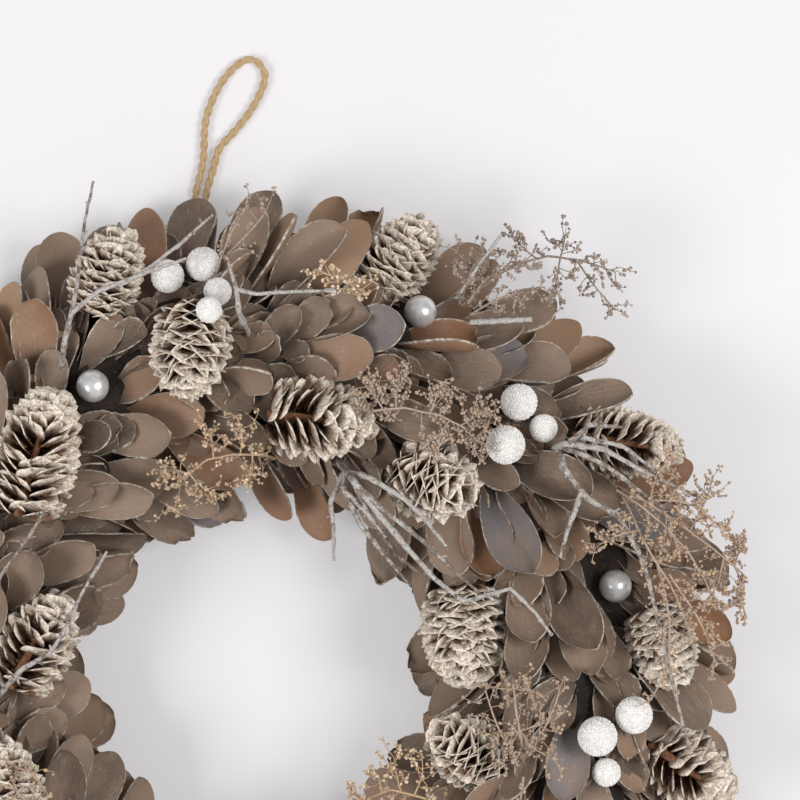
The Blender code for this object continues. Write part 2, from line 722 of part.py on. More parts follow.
def berry_pick(name, berries, turn, near, group):
    """Frosted berries: the first stands on the mat on a stalk and carries the others."""
    pieces = []
    spots = []
    radii = (BERRY_STALK_RADIUS, BERRY_STALK_RADIUS)
    for x, y, radius, height in berries:
        centre = Vector((x * MM, y * MM, mat_height(x * MM, y * MM) + height * MM))
        bm = bmesh.new()
        bmesh.ops.create_uvsphere(bm, u_segments=6, v_segments=5, radius=radius * MM)
        bmesh.ops.translate(bm, verts=bm.verts, vec=centre)
        pieces.append(add_object("berry", bm, FROST, group))
        spots.append((centre, radius * MM))
        root = spots[0][0]
        if len(spots) == 1:
            root = Vector((centre.x, centre.y, mat_height(centre.x, centre.y) + BUTT_RISE))
        pieces.append(needle("stalk", root, centre, radii, FROST, group))
    made = fuse(name, pieces, FROST)
    whirl = Matrix.Rotation(turn, 4, "Z")
    made.matrix_world = whirl
    _, normal = section_place(spots[0][0].x, spots[0][0].y, 0.0)
    settle(made, -(whirl @ normal), near)
    near.add(made, name)
    for centre, radius in spots:
        spot = made.matrix_world @ centre
        near.guards.append((spot.x, spot.y, spot.z, radius * 1.1))


def under_crest(points):
    """A route in metres, lowered where it would stand far above the shavings."""
    route = []
    for point in points:
        spot = Vector(point) * MM
        across = (math.hypot(spot.x, spot.y) - RING_RADIUS) / CREST_HALF_WIDTH
        spot.z = min(spot.z, WIDEST_LEVEL + CREST_RISE * math.sqrt(1 - min(across ** 2, 0.9)))
        route.append(spot)
    return route


def rooted(points):
    """A route in metres whose first point stands on the mat."""
    route = under_crest(points)
    first = route[0]
    first.z = mat_height(first.x, first.y) + BUTT_RISE
    return route


def stand_on_mat(made, near):
    """Lower or raise a bundle until its butt stands a small gap above the mat."""
    level = made.location.z
    while crosses(made, near):
        made.location.z += SETTLE_STEP / 2
    while not crosses(made, near) and made.location.z > level - SETTLE_START:
        made.location.z -= SETTLE_FINE
    made.location.z += SETTLE_FINE + GAP
    bpy.context.view_layer.update()


def fork_from(point, routes):
    """The nearest place to a point on the sticks that are there already."""
    spots = []
    low, high = FORK_RANGE
    for route in routes:
        for start, end in zip(route, route[1:]):
            run = end - start
            share = max(low, min(high, (point - start).dot(run) / run.length_squared))
            spots.append(start + run * share)
    return min(spots, key=lambda spot: (spot - point).length)


def twig_bundle(name, sticks, turn, near, group):
    """Forked whitewashed twigs that share one butt on the mat."""
    pieces = []
    routes = []
    for number, points in enumerate(sticks):
        if number == 0:
            route = rooted(points)
        else:
            route = under_crest(points)
            route[0] = fork_from(route[0], routes)
        routes.append(route)
        slim = 1.0 if number == 0 else SIDE_STICK
        radii = (TWIG_RADII[0] * slim, TWIG_RADII[1])
        pieces.append(tube("stick", route, radii, LIMED_TWIG, group))
    made = fuse(name, pieces, LIMED_TWIG)
    made.matrix_world = Matrix.Rotation(turn, 4, "Z")
    stand_on_mat(made, near)
    near.add(made, name)


def spray(name, shape, turn, near, group):
    """A dried spray: a slim stem, branchlets, and a bud at each tip."""
    stem, tips = shape
    route = rooted(stem)
    pieces = [tube("stem", route, SPRAY_STEM_RADII, DRIED_STEM, group)]
    for end in under_crest(tips):
        near_two = sorted(route[1:], key=lambda p: (p - end).length)[:2]
        start = near_two[0] * BRANCHING[0] + near_two[1] * BRANCHING[1]
        radii = (BRANCHLET_RADIUS, BUD_RADIUS)
        pieces.append(needle("branchlet", start, end, radii, DRIED_STEM, group))
    made = fuse(name, pieces, DRIED_STEM)
    made.matrix_world = Matrix.Rotation(turn, 4, "Z")
    stand_on_mat(made, near)
    near.add(made, name)


def smooth_route(points, count):
    """Points along a smooth curve through a route's own points."""
    route = [Vector(p) * MM for p in points]
    padded = [2 * route[0] - route[1], *route, 2 * route[-1] - route[-2]]
    spans = len(route) - 1
    result = []
    for index in range(count):
        place = index / (count - 1) * spans
        span = min(int(place), spans - 1)
        t = place - span
        a, b, c, d = padded[span:span + 4]
        result.append(0.5 * (2 * b + (c - a) * t + (2 * a - 5 * b + 4 * c - d) * t * t
                             + (3 * b - a - 3 * c + d) * t ** 3))
    return result


def hanging_loop(group):
    """The two-ply twine loop, laid on the surface above the top of the wreath."""
    route = smooth_route(TWINE_ROUTE, TWINE_POINTS)
    radii = (TWINE_RADIUS, TWINE_RADIUS)
    return tube("hanging_loop", route, radii, TWINE, group, resolution=2)


def build():
    """Ring first, then the trimmings on the mats, then the shavings between them."""
    clear_scene()
    group = new_collection("wood_shaving_wreath")
    near = Neighbours()
    ring = straw_ring(group)
    ring_mesh = evaluated_mesh(ring)
    bm = bmesh.new()
    bm.from_mesh(ring_mesh)
    near.add(bm, "straw_ring")
    bm.free()
    bpy.data.meshes.remove(ring_mesh)
    mats = []
    for sector in range(SECTORS):
        mats.append(mat(sector, group))
        near.add(mats[-1], f"mat_{sector}")
    near.add(hanging_loop(group), "hanging_loop")

    half_turn = math.pi
    number = 0
    for turn, chosen in ((0.0, range(len(CONES))), (half_turn, CONES_REPEATED)):
        for index in chosen:
            number += 1
            cone(f"cone_{number:02d}", CONES[index], turn, near, group)
    number = 0
    for turn in (0.0, half_turn):
        for place in BEADS:
            number += 1
            bead(f"silver_bead_{number}", place, turn, near, group)
    number = 0
    for turn in (0.0, half_turn):
        for berries in BERRY_PICKS:
            number += 1
            berry_pick(f"frosted_berries_{number}", berries, turn, near, group)
    bundles = [(index, 0) for index in range(len(TWIG_BUNDLES))]
    for number, (index, turn) in enumerate([*bundles, *TWIGS_REPEATED], 1):
        twig_bundle(f"twigs_{number}", TWIG_BUNDLES[index], math.radians(turn), near, group)
    sprays = [(index, 0) for index in range(len(SPRAYS))]
    for number, (index, turn) in enumerate([*sprays, *SPRAYS_REPEATED], 1):
        spray(f"spray_{number}", SPRAYS[index], math.radians(turn), near, group)

    place_shavings(mats, near, group)


build()
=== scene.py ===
"""Wood shaving wreath: the finished look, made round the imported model.

Lengths are in metres, +Z is up, and the wreath lies on its back with its face up.
"""
import math
import random

import bmesh
import bpy
from mathutils import Matrix, Vector, noise
from mathutils.bvhtree import BVHTree
from mathutils.kdtree import KDTree


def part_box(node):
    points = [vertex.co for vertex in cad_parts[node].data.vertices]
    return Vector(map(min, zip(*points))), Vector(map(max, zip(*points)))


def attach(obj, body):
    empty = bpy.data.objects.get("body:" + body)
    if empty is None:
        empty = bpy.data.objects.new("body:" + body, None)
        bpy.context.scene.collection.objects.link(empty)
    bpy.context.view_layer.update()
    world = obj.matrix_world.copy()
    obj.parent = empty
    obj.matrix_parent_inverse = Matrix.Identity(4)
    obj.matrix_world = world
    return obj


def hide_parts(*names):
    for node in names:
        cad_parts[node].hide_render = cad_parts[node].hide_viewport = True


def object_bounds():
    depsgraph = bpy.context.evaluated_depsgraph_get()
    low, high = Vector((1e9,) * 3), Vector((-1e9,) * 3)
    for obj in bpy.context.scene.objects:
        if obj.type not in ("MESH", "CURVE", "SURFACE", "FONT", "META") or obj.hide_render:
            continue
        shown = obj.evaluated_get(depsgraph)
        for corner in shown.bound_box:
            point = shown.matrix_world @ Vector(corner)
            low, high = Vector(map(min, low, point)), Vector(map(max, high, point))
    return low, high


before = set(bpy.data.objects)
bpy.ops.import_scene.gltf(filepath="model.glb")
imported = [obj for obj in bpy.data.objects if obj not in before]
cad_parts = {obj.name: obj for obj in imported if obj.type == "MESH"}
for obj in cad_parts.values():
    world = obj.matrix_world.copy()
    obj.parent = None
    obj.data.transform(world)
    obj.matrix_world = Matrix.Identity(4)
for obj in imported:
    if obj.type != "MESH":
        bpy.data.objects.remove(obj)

low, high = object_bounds()
scene = bpy.context.scene


# The studio: a plain pale light table, a large soft box on the right and one on the left,
# and a camera that looks straight down on the upper right part of the wreath.
MM = 0.001
TABLE_HALF = 3.0
TABLE_LEVEL = -0.2 * MM
TABLE_COLOUR = (0.58, 0.565, 0.58)
TABLE_GLOW = 0.26           # keeps the shadows on the table pale
TABLE_GLOW_COLOUR = (1.0, 0.985, 1.0)
CAMERA_PLACE = (0.0532, 0.1028, 1.545)
LENS = 183.9
SENSOR_WIDTH = 36.0
SOFT_BOXES = (((0.6, 0.02, 0.8), 13.0), ((-0.66, -0.26, 0.7), 11.5))    # direction, power
SOFT_BOX_DISTANCE = 1.5
SOFT_BOX_SIDE = 0.6
LIT_MIDDLE = (0.05, 0.08, 0.0)
SKY = (0.95, 0.95, 0.97)
SKY_STRENGTH = 0.42


class Wire:
    """A socket in a node tree. Sums that are written with it become Math nodes."""

    def __init__(self, tree, socket=None):
        self.tree = tree
        self.socket = socket

    def add_node(self, kind, sockets=None, **settings):
        """Add a node: its settings first, then its sockets' values or links."""
        node = self.tree.nodes.new(kind)
        for name, value in settings.items():
            if name != "stops":
                setattr(node, name, value)
                continue
            ramp = node.color_ramp
            for element, (place, shade) in ((ramp.elements[0], value[0]),
                                            (ramp.elements[-1], value[-1])):
                element.position = place
                element.color = (*shade, 1.0)
            for place, shade in value[1:-1]:
                ramp.elements.new(place).color = (*shade, 1.0)
        for key, value in (sockets or {}).items():
            if isinstance(key, int):
                target = node.inputs[key]
            else:
                target = next(s for s in node.inputs
                              if s.enabled and key in (s.identifier, s.name))
            if isinstance(value, Wire):
                self.tree.links.new(value.socket, target)
            elif target.type == "RGBA":
                target.default_value = (*value, 1.0)
            else:
                target.default_value = value
        return Wire(self.tree, next((s for s in node.outputs if s.enabled), None))

    def __getitem__(self, name):
        return Wire(self.tree, self.socket.node.outputs[name])

    def math(self, operation, first, second):
        return self.add_node("ShaderNodeMath", {0: first, 1: second}, operation=operation)

    def __add__(self, other):
        return self.math("ADD", self, other)

    def __sub__(self, other):
        return self.math("SUBTRACT", self, other)

    def __rsub__(self, other):
        return self.math("SUBTRACT", other, self)

    def __mul__(self, other):
        return self.math("MULTIPLY", self, other)

    __radd__ = __add__
    __rmul__ = __mul__

    def between(self, start, end):
        """0 below start, 1 above end, and a smooth step between them."""
        return self.add_node("ShaderNodeMapRange", {"Value": self, "From Min": start,
                                                    "From Max": end},
                             interpolation_type="SMOOTHSTEP")

    def blend(self, first, second):
        """A colour mix that has this wire as its factor."""
        return self.add_node("ShaderNodeMix", {"Factor_Float": self, "A_Color": first,
                                               "B_Color": second}, data_type="RGBA")

    def ramp(self, *stops):
        """A colour ramp that has this wire as its factor."""
        return self.add_node("ShaderNodeValToRGB", {"Fac": self}, stops=stops)

    def coords(self):
        """The piece's Object coordinates."""
        return self.add_node("ShaderNodeTexCoord")["Object"]

    def stored(self, name, output="Fac"):
        """What the piece's mesh carries under a name at each vertex."""
        return self.add_node("ShaderNodeAttribute", attribute_name=name)[output]

    def speckle(self, scale, detail=3.0, roughness=0.6):
        """Noise at this wire's coordinates."""
        return self.add_node("ShaderNodeTexNoise", {"Vector": self, "Scale": scale,
                                                    "Detail": detail,
                                                    "Roughness": roughness})

    def stretch(self, x, y, z):
        """This wire's coordinates, stretched along its axes."""
        return self.add_node("ShaderNodeMapping", {"Vector": self, "Scale": (x, y, z)})


def shade(red, green, blue):
    """A colour of 0 to 255 as a screen shows it, in linear light."""
    return tuple(((c / 255 + 0.055) / 1.055) ** 2.4 if c > 10 else c / 3295
                 for c in (red, green, blue))


def new_finish(name, roughness, **constants):
    """A material, the wire to start its nodes from, and its shader's sockets."""
    material = bpy.data.materials.new(name)
    material.use_nodes = True
    tree = material.node_tree
    sockets = tree.nodes["Principled BSDF"].inputs
    sockets["Roughness"].default_value = roughness
    for key, value in constants.items():
        sockets[key.replace("_", " ")].default_value = value
    return material, Wire(tree), sockets


def connect(wire, target):
    wire.tree.links.new(wire.socket, target)


def relief(height, depth, strength=1.0):
    """A bump of some depth in metres, from a wire of heights from 0 to 1."""
    return height.add_node("ShaderNodeBump", {"Height": height, "Distance": depth,
                                              "Strength": strength})


def show(name, mesh):
    """An object in the scene that has a mesh."""
    made = bpy.data.objects.new(name, mesh)
    scene.collection.objects.link(made)
    return made


def mesh_object(name, vertices, faces, material=None, smooth=False):
    """An object from vertices and faces."""
    mesh = bpy.data.meshes.new(name)
    mesh.from_pydata([tuple(v) for v in vertices], [], faces)
    mesh.shade_smooth() if smooth else mesh.shade_flat()
    if material:
        mesh.materials.append(material)
    return show(name, mesh)


table_finish, wire, sockets = new_finish(
    "table_top", 0.75, Emission_Color=(*TABLE_GLOW_COLOUR, 1.0),
    Emission_Strength=TABLE_GLOW)
darker = tuple(0.985 * c for c in TABLE_COLOUR)
connect(wire.coords().speckle(6.0).blend(darker, TABLE_COLOUR), sockets["Base Color"])
table = mesh_object("table_top", [(x * TABLE_HALF, y * TABLE_HALF, TABLE_LEVEL)
                                  for x, y in ((-1, -1), (1, -1), (1, 1), (-1, 1))],
                    [(0, 1, 2, 3)], table_finish)

camera = bpy.data.objects.new("camera", bpy.data.cameras.new("camera"))
camera.location = CAMERA_PLACE
camera.data.lens = LENS
camera.data.sensor_width = SENSOR_WIDTH
scene.collection.objects.link(camera)
scene.camera = camera

for number, (direction, power) in enumerate(SOFT_BOXES, 1):
    lamp = bpy.data.lights.new(f"soft_box_{number}", "AREA")
    lamp.shape = "SQUARE"
    lamp.size = SOFT_BOX_SIDE
    lamp.energy = power
    box = bpy.data.objects.new(f"soft_box_{number}", lamp)
    aim = Vector(direction).normalized()
    box.location = aim * SOFT_BOX_DISTANCE + Vector(LIT_MIDDLE)
    box.rotation_euler = aim.to_track_quat("Z", "Y").to_euler()
    scene.collection.objects.link(box)
world = bpy.data.worlds.new("studio")
world.use_nodes = True
sky = world.node_tree.nodes["Background"].inputs
sky["Color"].default_value = (*SKY, 1.0)
sky["Strength"].default_value = SKY_STRENGTH
scene.world = world
scene.view_settings.view_transform = "Standard"


# The hanging loop: golden jute twine, two plies laid round each other. It is tied to the
# straw ring under the shavings, and lies open on the table at the top of the wreath.
TWINE_RADIUS = 1.6 * MM
TWINE_ROUTE = (
    (-20.5, 139.5, 1.75), (-21.6, 150, 1.75), (-23.0, 164, 1.75), (-24.2, 178, 1.75),
    (-21.2, 193, 1.75), (-20.0, 209, 1.75), (-14.6, 222, 1.75), (-7.4, 230, 1.75),
    (-1.6, 231, 1.75), (2.2, 225, 1.75), (-1.4, 215, 1.75), (-8.2, 205.5, 1.75),
    (-14.8, 198, 1.75), (-17.3, 190, 1.75), (-20.3, 178, 1.75), (-19.2, 164, 1.75),
    (-17.7, 150, 1.75), (-16.4, 139.9, 1.75),
)
TWINE_POINTS = 31
FINE_POINTS = 600
PLY_RADIUS = 0.98 * MM
PLY_OFFSET = 0.9 * (TWINE_RADIUS - PLY_RADIUS)
PLY_LAY = 8.6 * MM          # length of one turn of a ply
PLY_SIDES = 12
PLY_STEP = 0.55 * MM
CROWN_LIMIT = high.y - 0.05 * MM


def smooth_route(points, count):
    """Points along a smooth curve through a route's own points, in metres."""
    route = [Vector(p) * MM for p in points]
    padded = [2 * route[0] - route[1], *route, 2 * route[-1] - route[-2]]
    spans = len(route) - 1
    result = []
    for index in range(count):
        place = index / (count - 1) * spans
        span = min(int(place), spans - 1)
        t = place - span
        a, b, c, d = padded[span:span + 4]
        result.append(0.5 * (2 * b + (c - a) * t + (2 * a - 5 * b + 4 * c - d) * t * t
                             + (3 * b - a - 3 * c + d) * t ** 3))
    return result


def route_length(points):
    return sum((b - a).length for a, b in zip(points, points[1:]))


def even_route(points, step):
    """The same route with points at an even distance, and the distance of each."""
    lengths = [0.0]
    for a, b in zip(points, points[1:]):
        lengths.append(lengths[-1] + (b - a).length)
    count = max(2, round(lengths[-1] / step))
    result = []
    span = 0
    for index in range(count + 1):
        reach = lengths[-1] * index / count
        while span < len(points) - 2 and lengths[span + 1] < reach:
            span += 1
        share = (reach - lengths[span]) / (lengths[span + 1] - lengths[span])
        result.append((points[span].lerp(points[span + 1], share), reach))
    return result


def store(item, name, kind, values):
    """Give each vertex of an object a value or a vector under a name."""
    data = item.data.attributes.new(name, kind, "POINT").data
    if kind in ("FLOAT_VECTOR", "QUATERNION"):
        values = [number for value in values for number in value]
    data.foreach_set("vector" if kind == "FLOAT_VECTOR" else "value", values)


def face_outwards(item):
    """Make the faces of an object's closed shells point outwards."""
    shell = bmesh.new()
    shell.from_mesh(item.data)
    bmesh.ops.recalc_face_normals(shell, faces=shell.faces)
    shell.to_mesh(item.data)
    shell.free()


twine_finish, wire, sockets = new_finish("jute_twine", 0.92)
lay = wire.stored("lay", "Vector")
fibres = lay.stretch(1.0, 0.09, 1.0).speckle(34.0, 4.0, 0.7)
patches = lay.stretch(1.0, 1.0, 0.0).speckle(2.2)
warm = fibres.between(0.3, 0.72).blend(shade(196, 154, 104), shade(248, 222, 178))
connect((patches.between(0.35, 0.7) * 0.6).blend(warm, shade(230, 198, 150)),
        sockets["Base Color"])
connect(relief(fibres, 0.5 * MM), sockets["Normal"])

twine_path = smooth_route(TWINE_ROUTE, TWINE_POINTS)
fine_path = even_route(smooth_route(TWINE_ROUTE, FINE_POINTS), PLY_STEP)
vertices, faces, lays = [], [], []
for ply in (0, 1):
    first = len(vertices)
    for index, (spot, reach) in enumerate(fine_path):
        before = fine_path[max(0, index - 1)][0]
        after = fine_path[min(len(fine_path) - 1, index + 1)][0]
        along = (after - before).normalized()
        side = along.cross(Vector((0, 0, 1))).normalized()
        over = side.cross(along)
        turn = math.tau * reach / PLY_LAY + math.pi * ply
        middle = spot + (side * math.cos(turn) + over * math.sin(turn)) * PLY_OFFSET
        for corner in range(PLY_SIDES):
            angle = math.tau * corner / PLY_SIDES
            outward = side * math.cos(angle) + over * math.sin(angle)
            hair = noise.noise(Vector((reach / MM * 0.9, corner * 1.7, ply * 9.0)))
            place = middle + outward * PLY_RADIUS * (0.96 + 0.1 * hair)
            place.y = min(place.y, CROWN_LIMIT)
            vertices.append(place)
            lays.append((corner * 0.35 + reach / MM * 0.5, reach / MM, ply * 7.0))
    last = len(vertices) - PLY_SIDES
    for row in range(first, last, PLY_SIDES):
        for corner in range(PLY_SIDES):
            a, b = row + corner, row + (corner + 1) % PLY_SIDES
            faces.append((a, b, b + PLY_SIDES, a + PLY_SIDES))
    faces.append(tuple(reversed(range(first, first + PLY_SIDES))))
    faces.append(tuple(range(last, last + PLY_SIDES)))
twine = mesh_object("jute_loop", vertices, faces, twine_finish, smooth=True)
store(twine, "lay", "FLOAT_VECTOR", lays)
face_outwards(twine)
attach(twine, "root")
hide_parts("hanging_loop")
tuple(twine_path[0])
route_length(twine_path)
[tuple(p) for p in twine_path]


# The straw ring: dry straw packed round, flat at the back, and bound with a thin twine
# that is wound round it all the way. It shows at the back of the wreath.
RING_RADIUS = 118 * MM
STRAW_HALF_WIDTH = 28.5 * MM
STRAW_RISE = 23 * MM
WIDEST_LEVEL = 20 * MM
FOOT_LEVEL = 7 * MM
FOOT_INSET = 2 * MM
BACK_HALF = 20 * MM
BACK_LEVEL = 1.5 * MM
CORE_INSET = 0.6 * MM
CORE_SHRINK = (0.955, 0.97)     # outwards and upwards, to leave room for the straws
CORE_RISE = 0.5 * MM
CORE_STEPS = 96
STRAW_COUNT = 1900
STRAW_LENGTH = (16, 27)
STRAW_THICKNESS = (0.7, 1.3)
STRAW_TILT = 0.22
STRAW_CLEARANCE = 0.1 * MM
OVER_SHARE = 0.35           # of the straws are drawn all over, the rest on the flat back
BINDINGS = 34
BINDING_RADIUS = 0.55 * MM
BINDING_LEVEL = BINDING_RADIUS + 0.02 * MM
BINDING_CORNER = (4 * MM, 0.5 * MM)     # how it turns from the back into the sides


def arch(offset):
    """The section's side, shoulder, crown, shoulder and side, grown by an offset."""
    half = STRAW_HALF_WIDTH + offset
    rise = STRAW_RISE + offset
    corners = []
    for step in (2, 1, 0, -1, -2):
        angle = math.radians(45 * step)
        corners.append((half * math.sin(angle), WIDEST_LEVEL + rise * math.cos(angle)))
    return corners


def rim(offset, level):
    """The arch with its two lower rims, from the outside over the crown to the hole."""
    half = STRAW_HALF_WIDTH + offset - FOOT_INSET
    return [(half, level), *arch(offset), (-half, level)]


def clockwise_frame(theta):
    """Radial, clockwise and up directions at an angle round the ring."""
    radial = Vector((math.cos(theta), math.sin(theta), 0))
    clockwise = Vector((math.sin(theta), -math.cos(theta), 0))
    return radial, clockwise, Vector((0, 0, 1))


def turned_ring(name, section, steps, material, smooth=True):
    """A closed ring, turned from a closed section of (outward, up) points."""
    vertices, faces = [], []
    count = len(section)
    for step in range(steps):
        radial, _, up = clockwise_frame(math.tau * step / steps)
        vertices += [radial * (RING_RADIUS + r) + up * z for r, z in section]
        for i in range(count):
            j = (i + 1) % count
            near, far = step * count, (step + 1) % steps * count
            faces.append((near + i, near + j, far + j, far + i))
    made = mesh_object(name, vertices, faces, material, smooth)
    face_outwards(made)
    return made


def new_tree(name, **inputs):
    """A geometry tree, its inputs' identifiers, and the wire to start its nodes from."""
    tree = bpy.data.node_groups.new(name, "GeometryNodeTree")
    names = {}
    for key, kind in inputs.items():
        names[key] = tree.interface.new_socket(key.capitalize(), in_out="INPUT",
                                               socket_type=f"NodeSocket{kind}").identifier
    tree.interface.new_socket("Geometry", in_out="OUTPUT", socket_type="NodeSocketGeometry")
    return tree, names, Wire(tree).add_node("NodeGroupInput")


def end_tree(shapes, start):
    """Close a geometry tree: its shapes are made real and get their finish."""
    real = start.add_node("GeometryNodeRealizeInstances", {"Geometry": shapes})
    finished = start.add_node("GeometryNodeSetMaterial",
                              {"Geometry": real, "Material": start["Finish"]})
    start.add_node("NodeGroupOutput", {"Geometry": finished})


def planting_tree():
    tree, names, start = new_tree("planting", points="Geometry", kit="Collection",
                                  finish="Material")
    kit = start.add_node("GeometryNodeCollectionInfo",
                         {"Collection": start["Kit"], "Separate Children": True,
                          "Reset Children": True})
    kinds = ("turn", "QUATERNION"), ("size", "FLOAT_VECTOR"), ("pick", "INT")
    turn, size, pick = (
        start.add_node("GeometryNodeInputNamedAttribute", {"Name": name}, data_type=kind)
        for name, kind in kinds)
    end_tree(start.add_node("GeometryNodeInstanceOnPoints", {
        "Points": start["Points"], "Instance": kit, "Pick Instance": True,
        "Instance Index": pick, "Rotation": turn, "Scale": size}), start)
    return tree, names


def rod_tree():
    """Sticks along lines: each point of a line has its own thickness."""
    tree, names, start = new_tree("rods", lines="Geometry", sides="Int", step="Float",
                                  wobble="Float", knots="Float", finish="Material")
    curves = start.add_node("GeometryNodeMeshToCurve", {"Mesh": start["Lines"]})
    even = start.add_node("GeometryNodeResampleCurve",
                          {"Curve": curves, "Length": start["Step"]}, mode="LENGTH")
    place = start.add_node("GeometryNodeInputPosition")
    waver = place.add_node("ShaderNodeTexNoise", {"Vector": place, "Scale": 190.0,
                                                  "Detail": 1.0})["Color"]
    centred = waver.add_node("ShaderNodeVectorMath", {0: waver, 1: (0.5, 0.5, 0.5)},
                             operation="SUBTRACT")
    offset = waver.add_node("ShaderNodeVectorMath", {0: centred, "Scale": start["Wobble"]},
                            operation="SCALE")
    moved = start.add_node("GeometryNodeSetPosition", {"Geometry": even, "Offset": offset})
    thick = start.add_node("GeometryNodeInputNamedAttribute", {"Name": "thick"},
                           data_type="FLOAT")
    lump = place.speckle(420.0, 1.0).between(0.52, 0.72)
    profile = start.add_node("GeometryNodeCurvePrimitiveCircle",
                             {"Resolution": start["Sides"], "Radius": 1.0})
    end_tree(start.add_node("GeometryNodeCurveToMesh", {
        "Curve": moved, "Profile Curve": profile,
        "Scale": thick * (1.0 + lump * start["Knots"]), "Fill Caps": True}), start)
    return tree, names


PLANTING, PLANTING_NAMES = planting_tree()
RODS, ROD_NAMES = rod_tree()
KEPT_ATTRIBUTES = {"tone", "rim", "grain", "lip"}


def apply_tree(source, tree, names, values, name):
    """Run a geometry tree on an object, and return the result as a plain object."""
    modifier = source.modifiers.new("tree", "NODES")
    modifier.node_group = tree
    for key, value in values.items():
        modifier[names[key]] = value
    bpy.context.view_layer.update()
    graph = bpy.context.evaluated_depsgraph_get()
    mesh = bpy.data.meshes.new_from_object(source.evaluated_get(graph))
    bpy.data.objects.remove(source, do_unlink=True)
    mesh.name = name
    mesh.materials.clear()
    mesh.materials.append(values["finish"])
    mesh.polygons.foreach_set("material_index", [0] * len(mesh.polygons))
    for attribute in [a.name for a in mesh.attributes if not a.is_required
                      and not a.is_internal and a.domain == "POINT"]:
        if attribute not in KEPT_ATTRIBUTES:
            mesh.attributes.remove(mesh.attributes[attribute])
    return show(name, mesh)


def make_kit(name, shapes):
    """Put shape objects into a kit, which stays out of the scene."""
    kit = bpy.data.collections.new(name)
    for number, shape in enumerate(shapes):
        for owner in list(shape.users_collection):
            owner.objects.unlink(shape)
        shape.name = f"{name}_{number:03d}"
        kit.objects.link(shape)
    return kit


def plant(name, kit, spots, finish):
    stands, sizes, picks, tones = zip(*spots)
    points = mesh_object("spots", [stand.translation for stand in stands], [])
    store(points, "turn", "QUATERNION", [stand.to_quaternion() for stand in stands])
    store(points, "size", "FLOAT_VECTOR", sizes)
    store(points, "pick", "INT", picks)
    store(points, "tone", "FLOAT", tones)
    return apply_tree(points, PLANTING, PLANTING_NAMES, {"kit": kit, "finish": finish},
                      name)


def rods(name, lines, finish, sides=6, step=1.5 * MM, wobble=0.0, knots=0.0):
    """Sticks along lines: each line has its points, start and end radius, and tone."""
    vertices, edges, thick, tones = [], [], [], []
    for points, radii, tone in lines:
        first = len(vertices)
        for index, point in enumerate(points):
            share = index / (len(points) - 1)
            vertices.append(tuple(point))
            thick.append(radii[0] * (1 - share) + radii[1] * share)
            tones.append(tone)
            if index:
                edges.append((first + index - 1, first + index))
    mesh = bpy.data.meshes.new("lines")
    mesh.from_pydata(vertices, edges, [])
    source = show("lines", mesh)
    store(source, "thick", "FLOAT", thick)
    store(source, "tone", "FLOAT", tones)
    return apply_tree(source, RODS, ROD_NAMES, {
        "sides": sides, "step": step, "wobble": wobble, "knots": knots,
        "finish": finish}, name)


def join(name, objects):
    """Several mesh objects as one."""
    whole = bmesh.new()
    materials = []
    for item in objects:
        before = len(whole.faces)
        whole.from_mesh(item.data)
        whole.faces.ensure_lookup_table()
        number = len(materials)
        materials.append(item.data.materials[0])
        for face in whole.faces[before:]:
            face.material_index = number
        bpy.data.objects.remove(item, do_unlink=True)
    mesh = bpy.data.meshes.new(name)
    whole.to_mesh(mesh)
    whole.free()
    for material in materials:
        mesh.materials.append(material)
    return show(name, mesh)


def dress(piece, slot, *nodes):
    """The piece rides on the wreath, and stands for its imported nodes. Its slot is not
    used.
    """
    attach(piece, "root")
    if nodes:
        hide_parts(*nodes)


def body_finish(name, roughness, dark, light, fleck, scale, depth, tone_share=0.0):
    """A dry natural finish: two colours in patches, flecks and a fine relief."""
    material, wire, sockets = new_finish(name, roughness)
    coords = wire.coords()
    patches = coords.speckle(scale, 4.0)
    if tone_share:
        patches = patches * (1.0 - tone_share) + wire.stored("tone") * tone_share
    fine = coords.speckle(scale * 7, 3.0, 0.7)
    colour = patches.between(0.3, 0.7).blend(dark, light)
    connect(fine.between(0.58, 0.7).blend(colour, fleck), sockets["Base Color"])
    connect(relief(fine, depth), sockets["Normal"])
    return material


straw_finish = body_finish("dry_straw", 0.8, shade(136, 104, 58), shade(206, 176, 116),
                           shade(226, 204, 158), 60.0, 0.2 * MM, 0.6)
binding_finish = body_finish("binding_twine", 0.85, shade(92, 74, 48), shade(150, 126, 88),
                             shade(178, 158, 122), 400.0, 0.1 * MM)
section = [(r * CORE_SHRINK[0], z * CORE_SHRINK[1] + CORE_RISE)
           for r, z in rim(-CORE_INSET, FOOT_LEVEL)]
section = [(BACK_HALF, BACK_LEVEL), *section, (-BACK_HALF, BACK_LEVEL)]
straw_body = turned_ring("straw_body", section, CORE_STEPS, straw_finish)
straw = mesh_object("straw", [(x, y * (1.0 - 0.6 * abs(x)), z)
                              for x in (-0.5, -0.17, 0.17, 0.5)
                              for y, z in ((-0.5, 0), (0, 0.5), (0.5, 0), (0, -0.5))],
                    [(a + k, (a + 1) % 4 + k, (a + 1) % 4 + k + 4, a + k + 4)
                     for k in (0, 4, 8) for a in range(4)]
                    + [(3, 2, 1, 0), (12, 13, 14, 15)])
straw_kit = make_kit("straws", [straw])
rng = random.Random(11)
spots = []
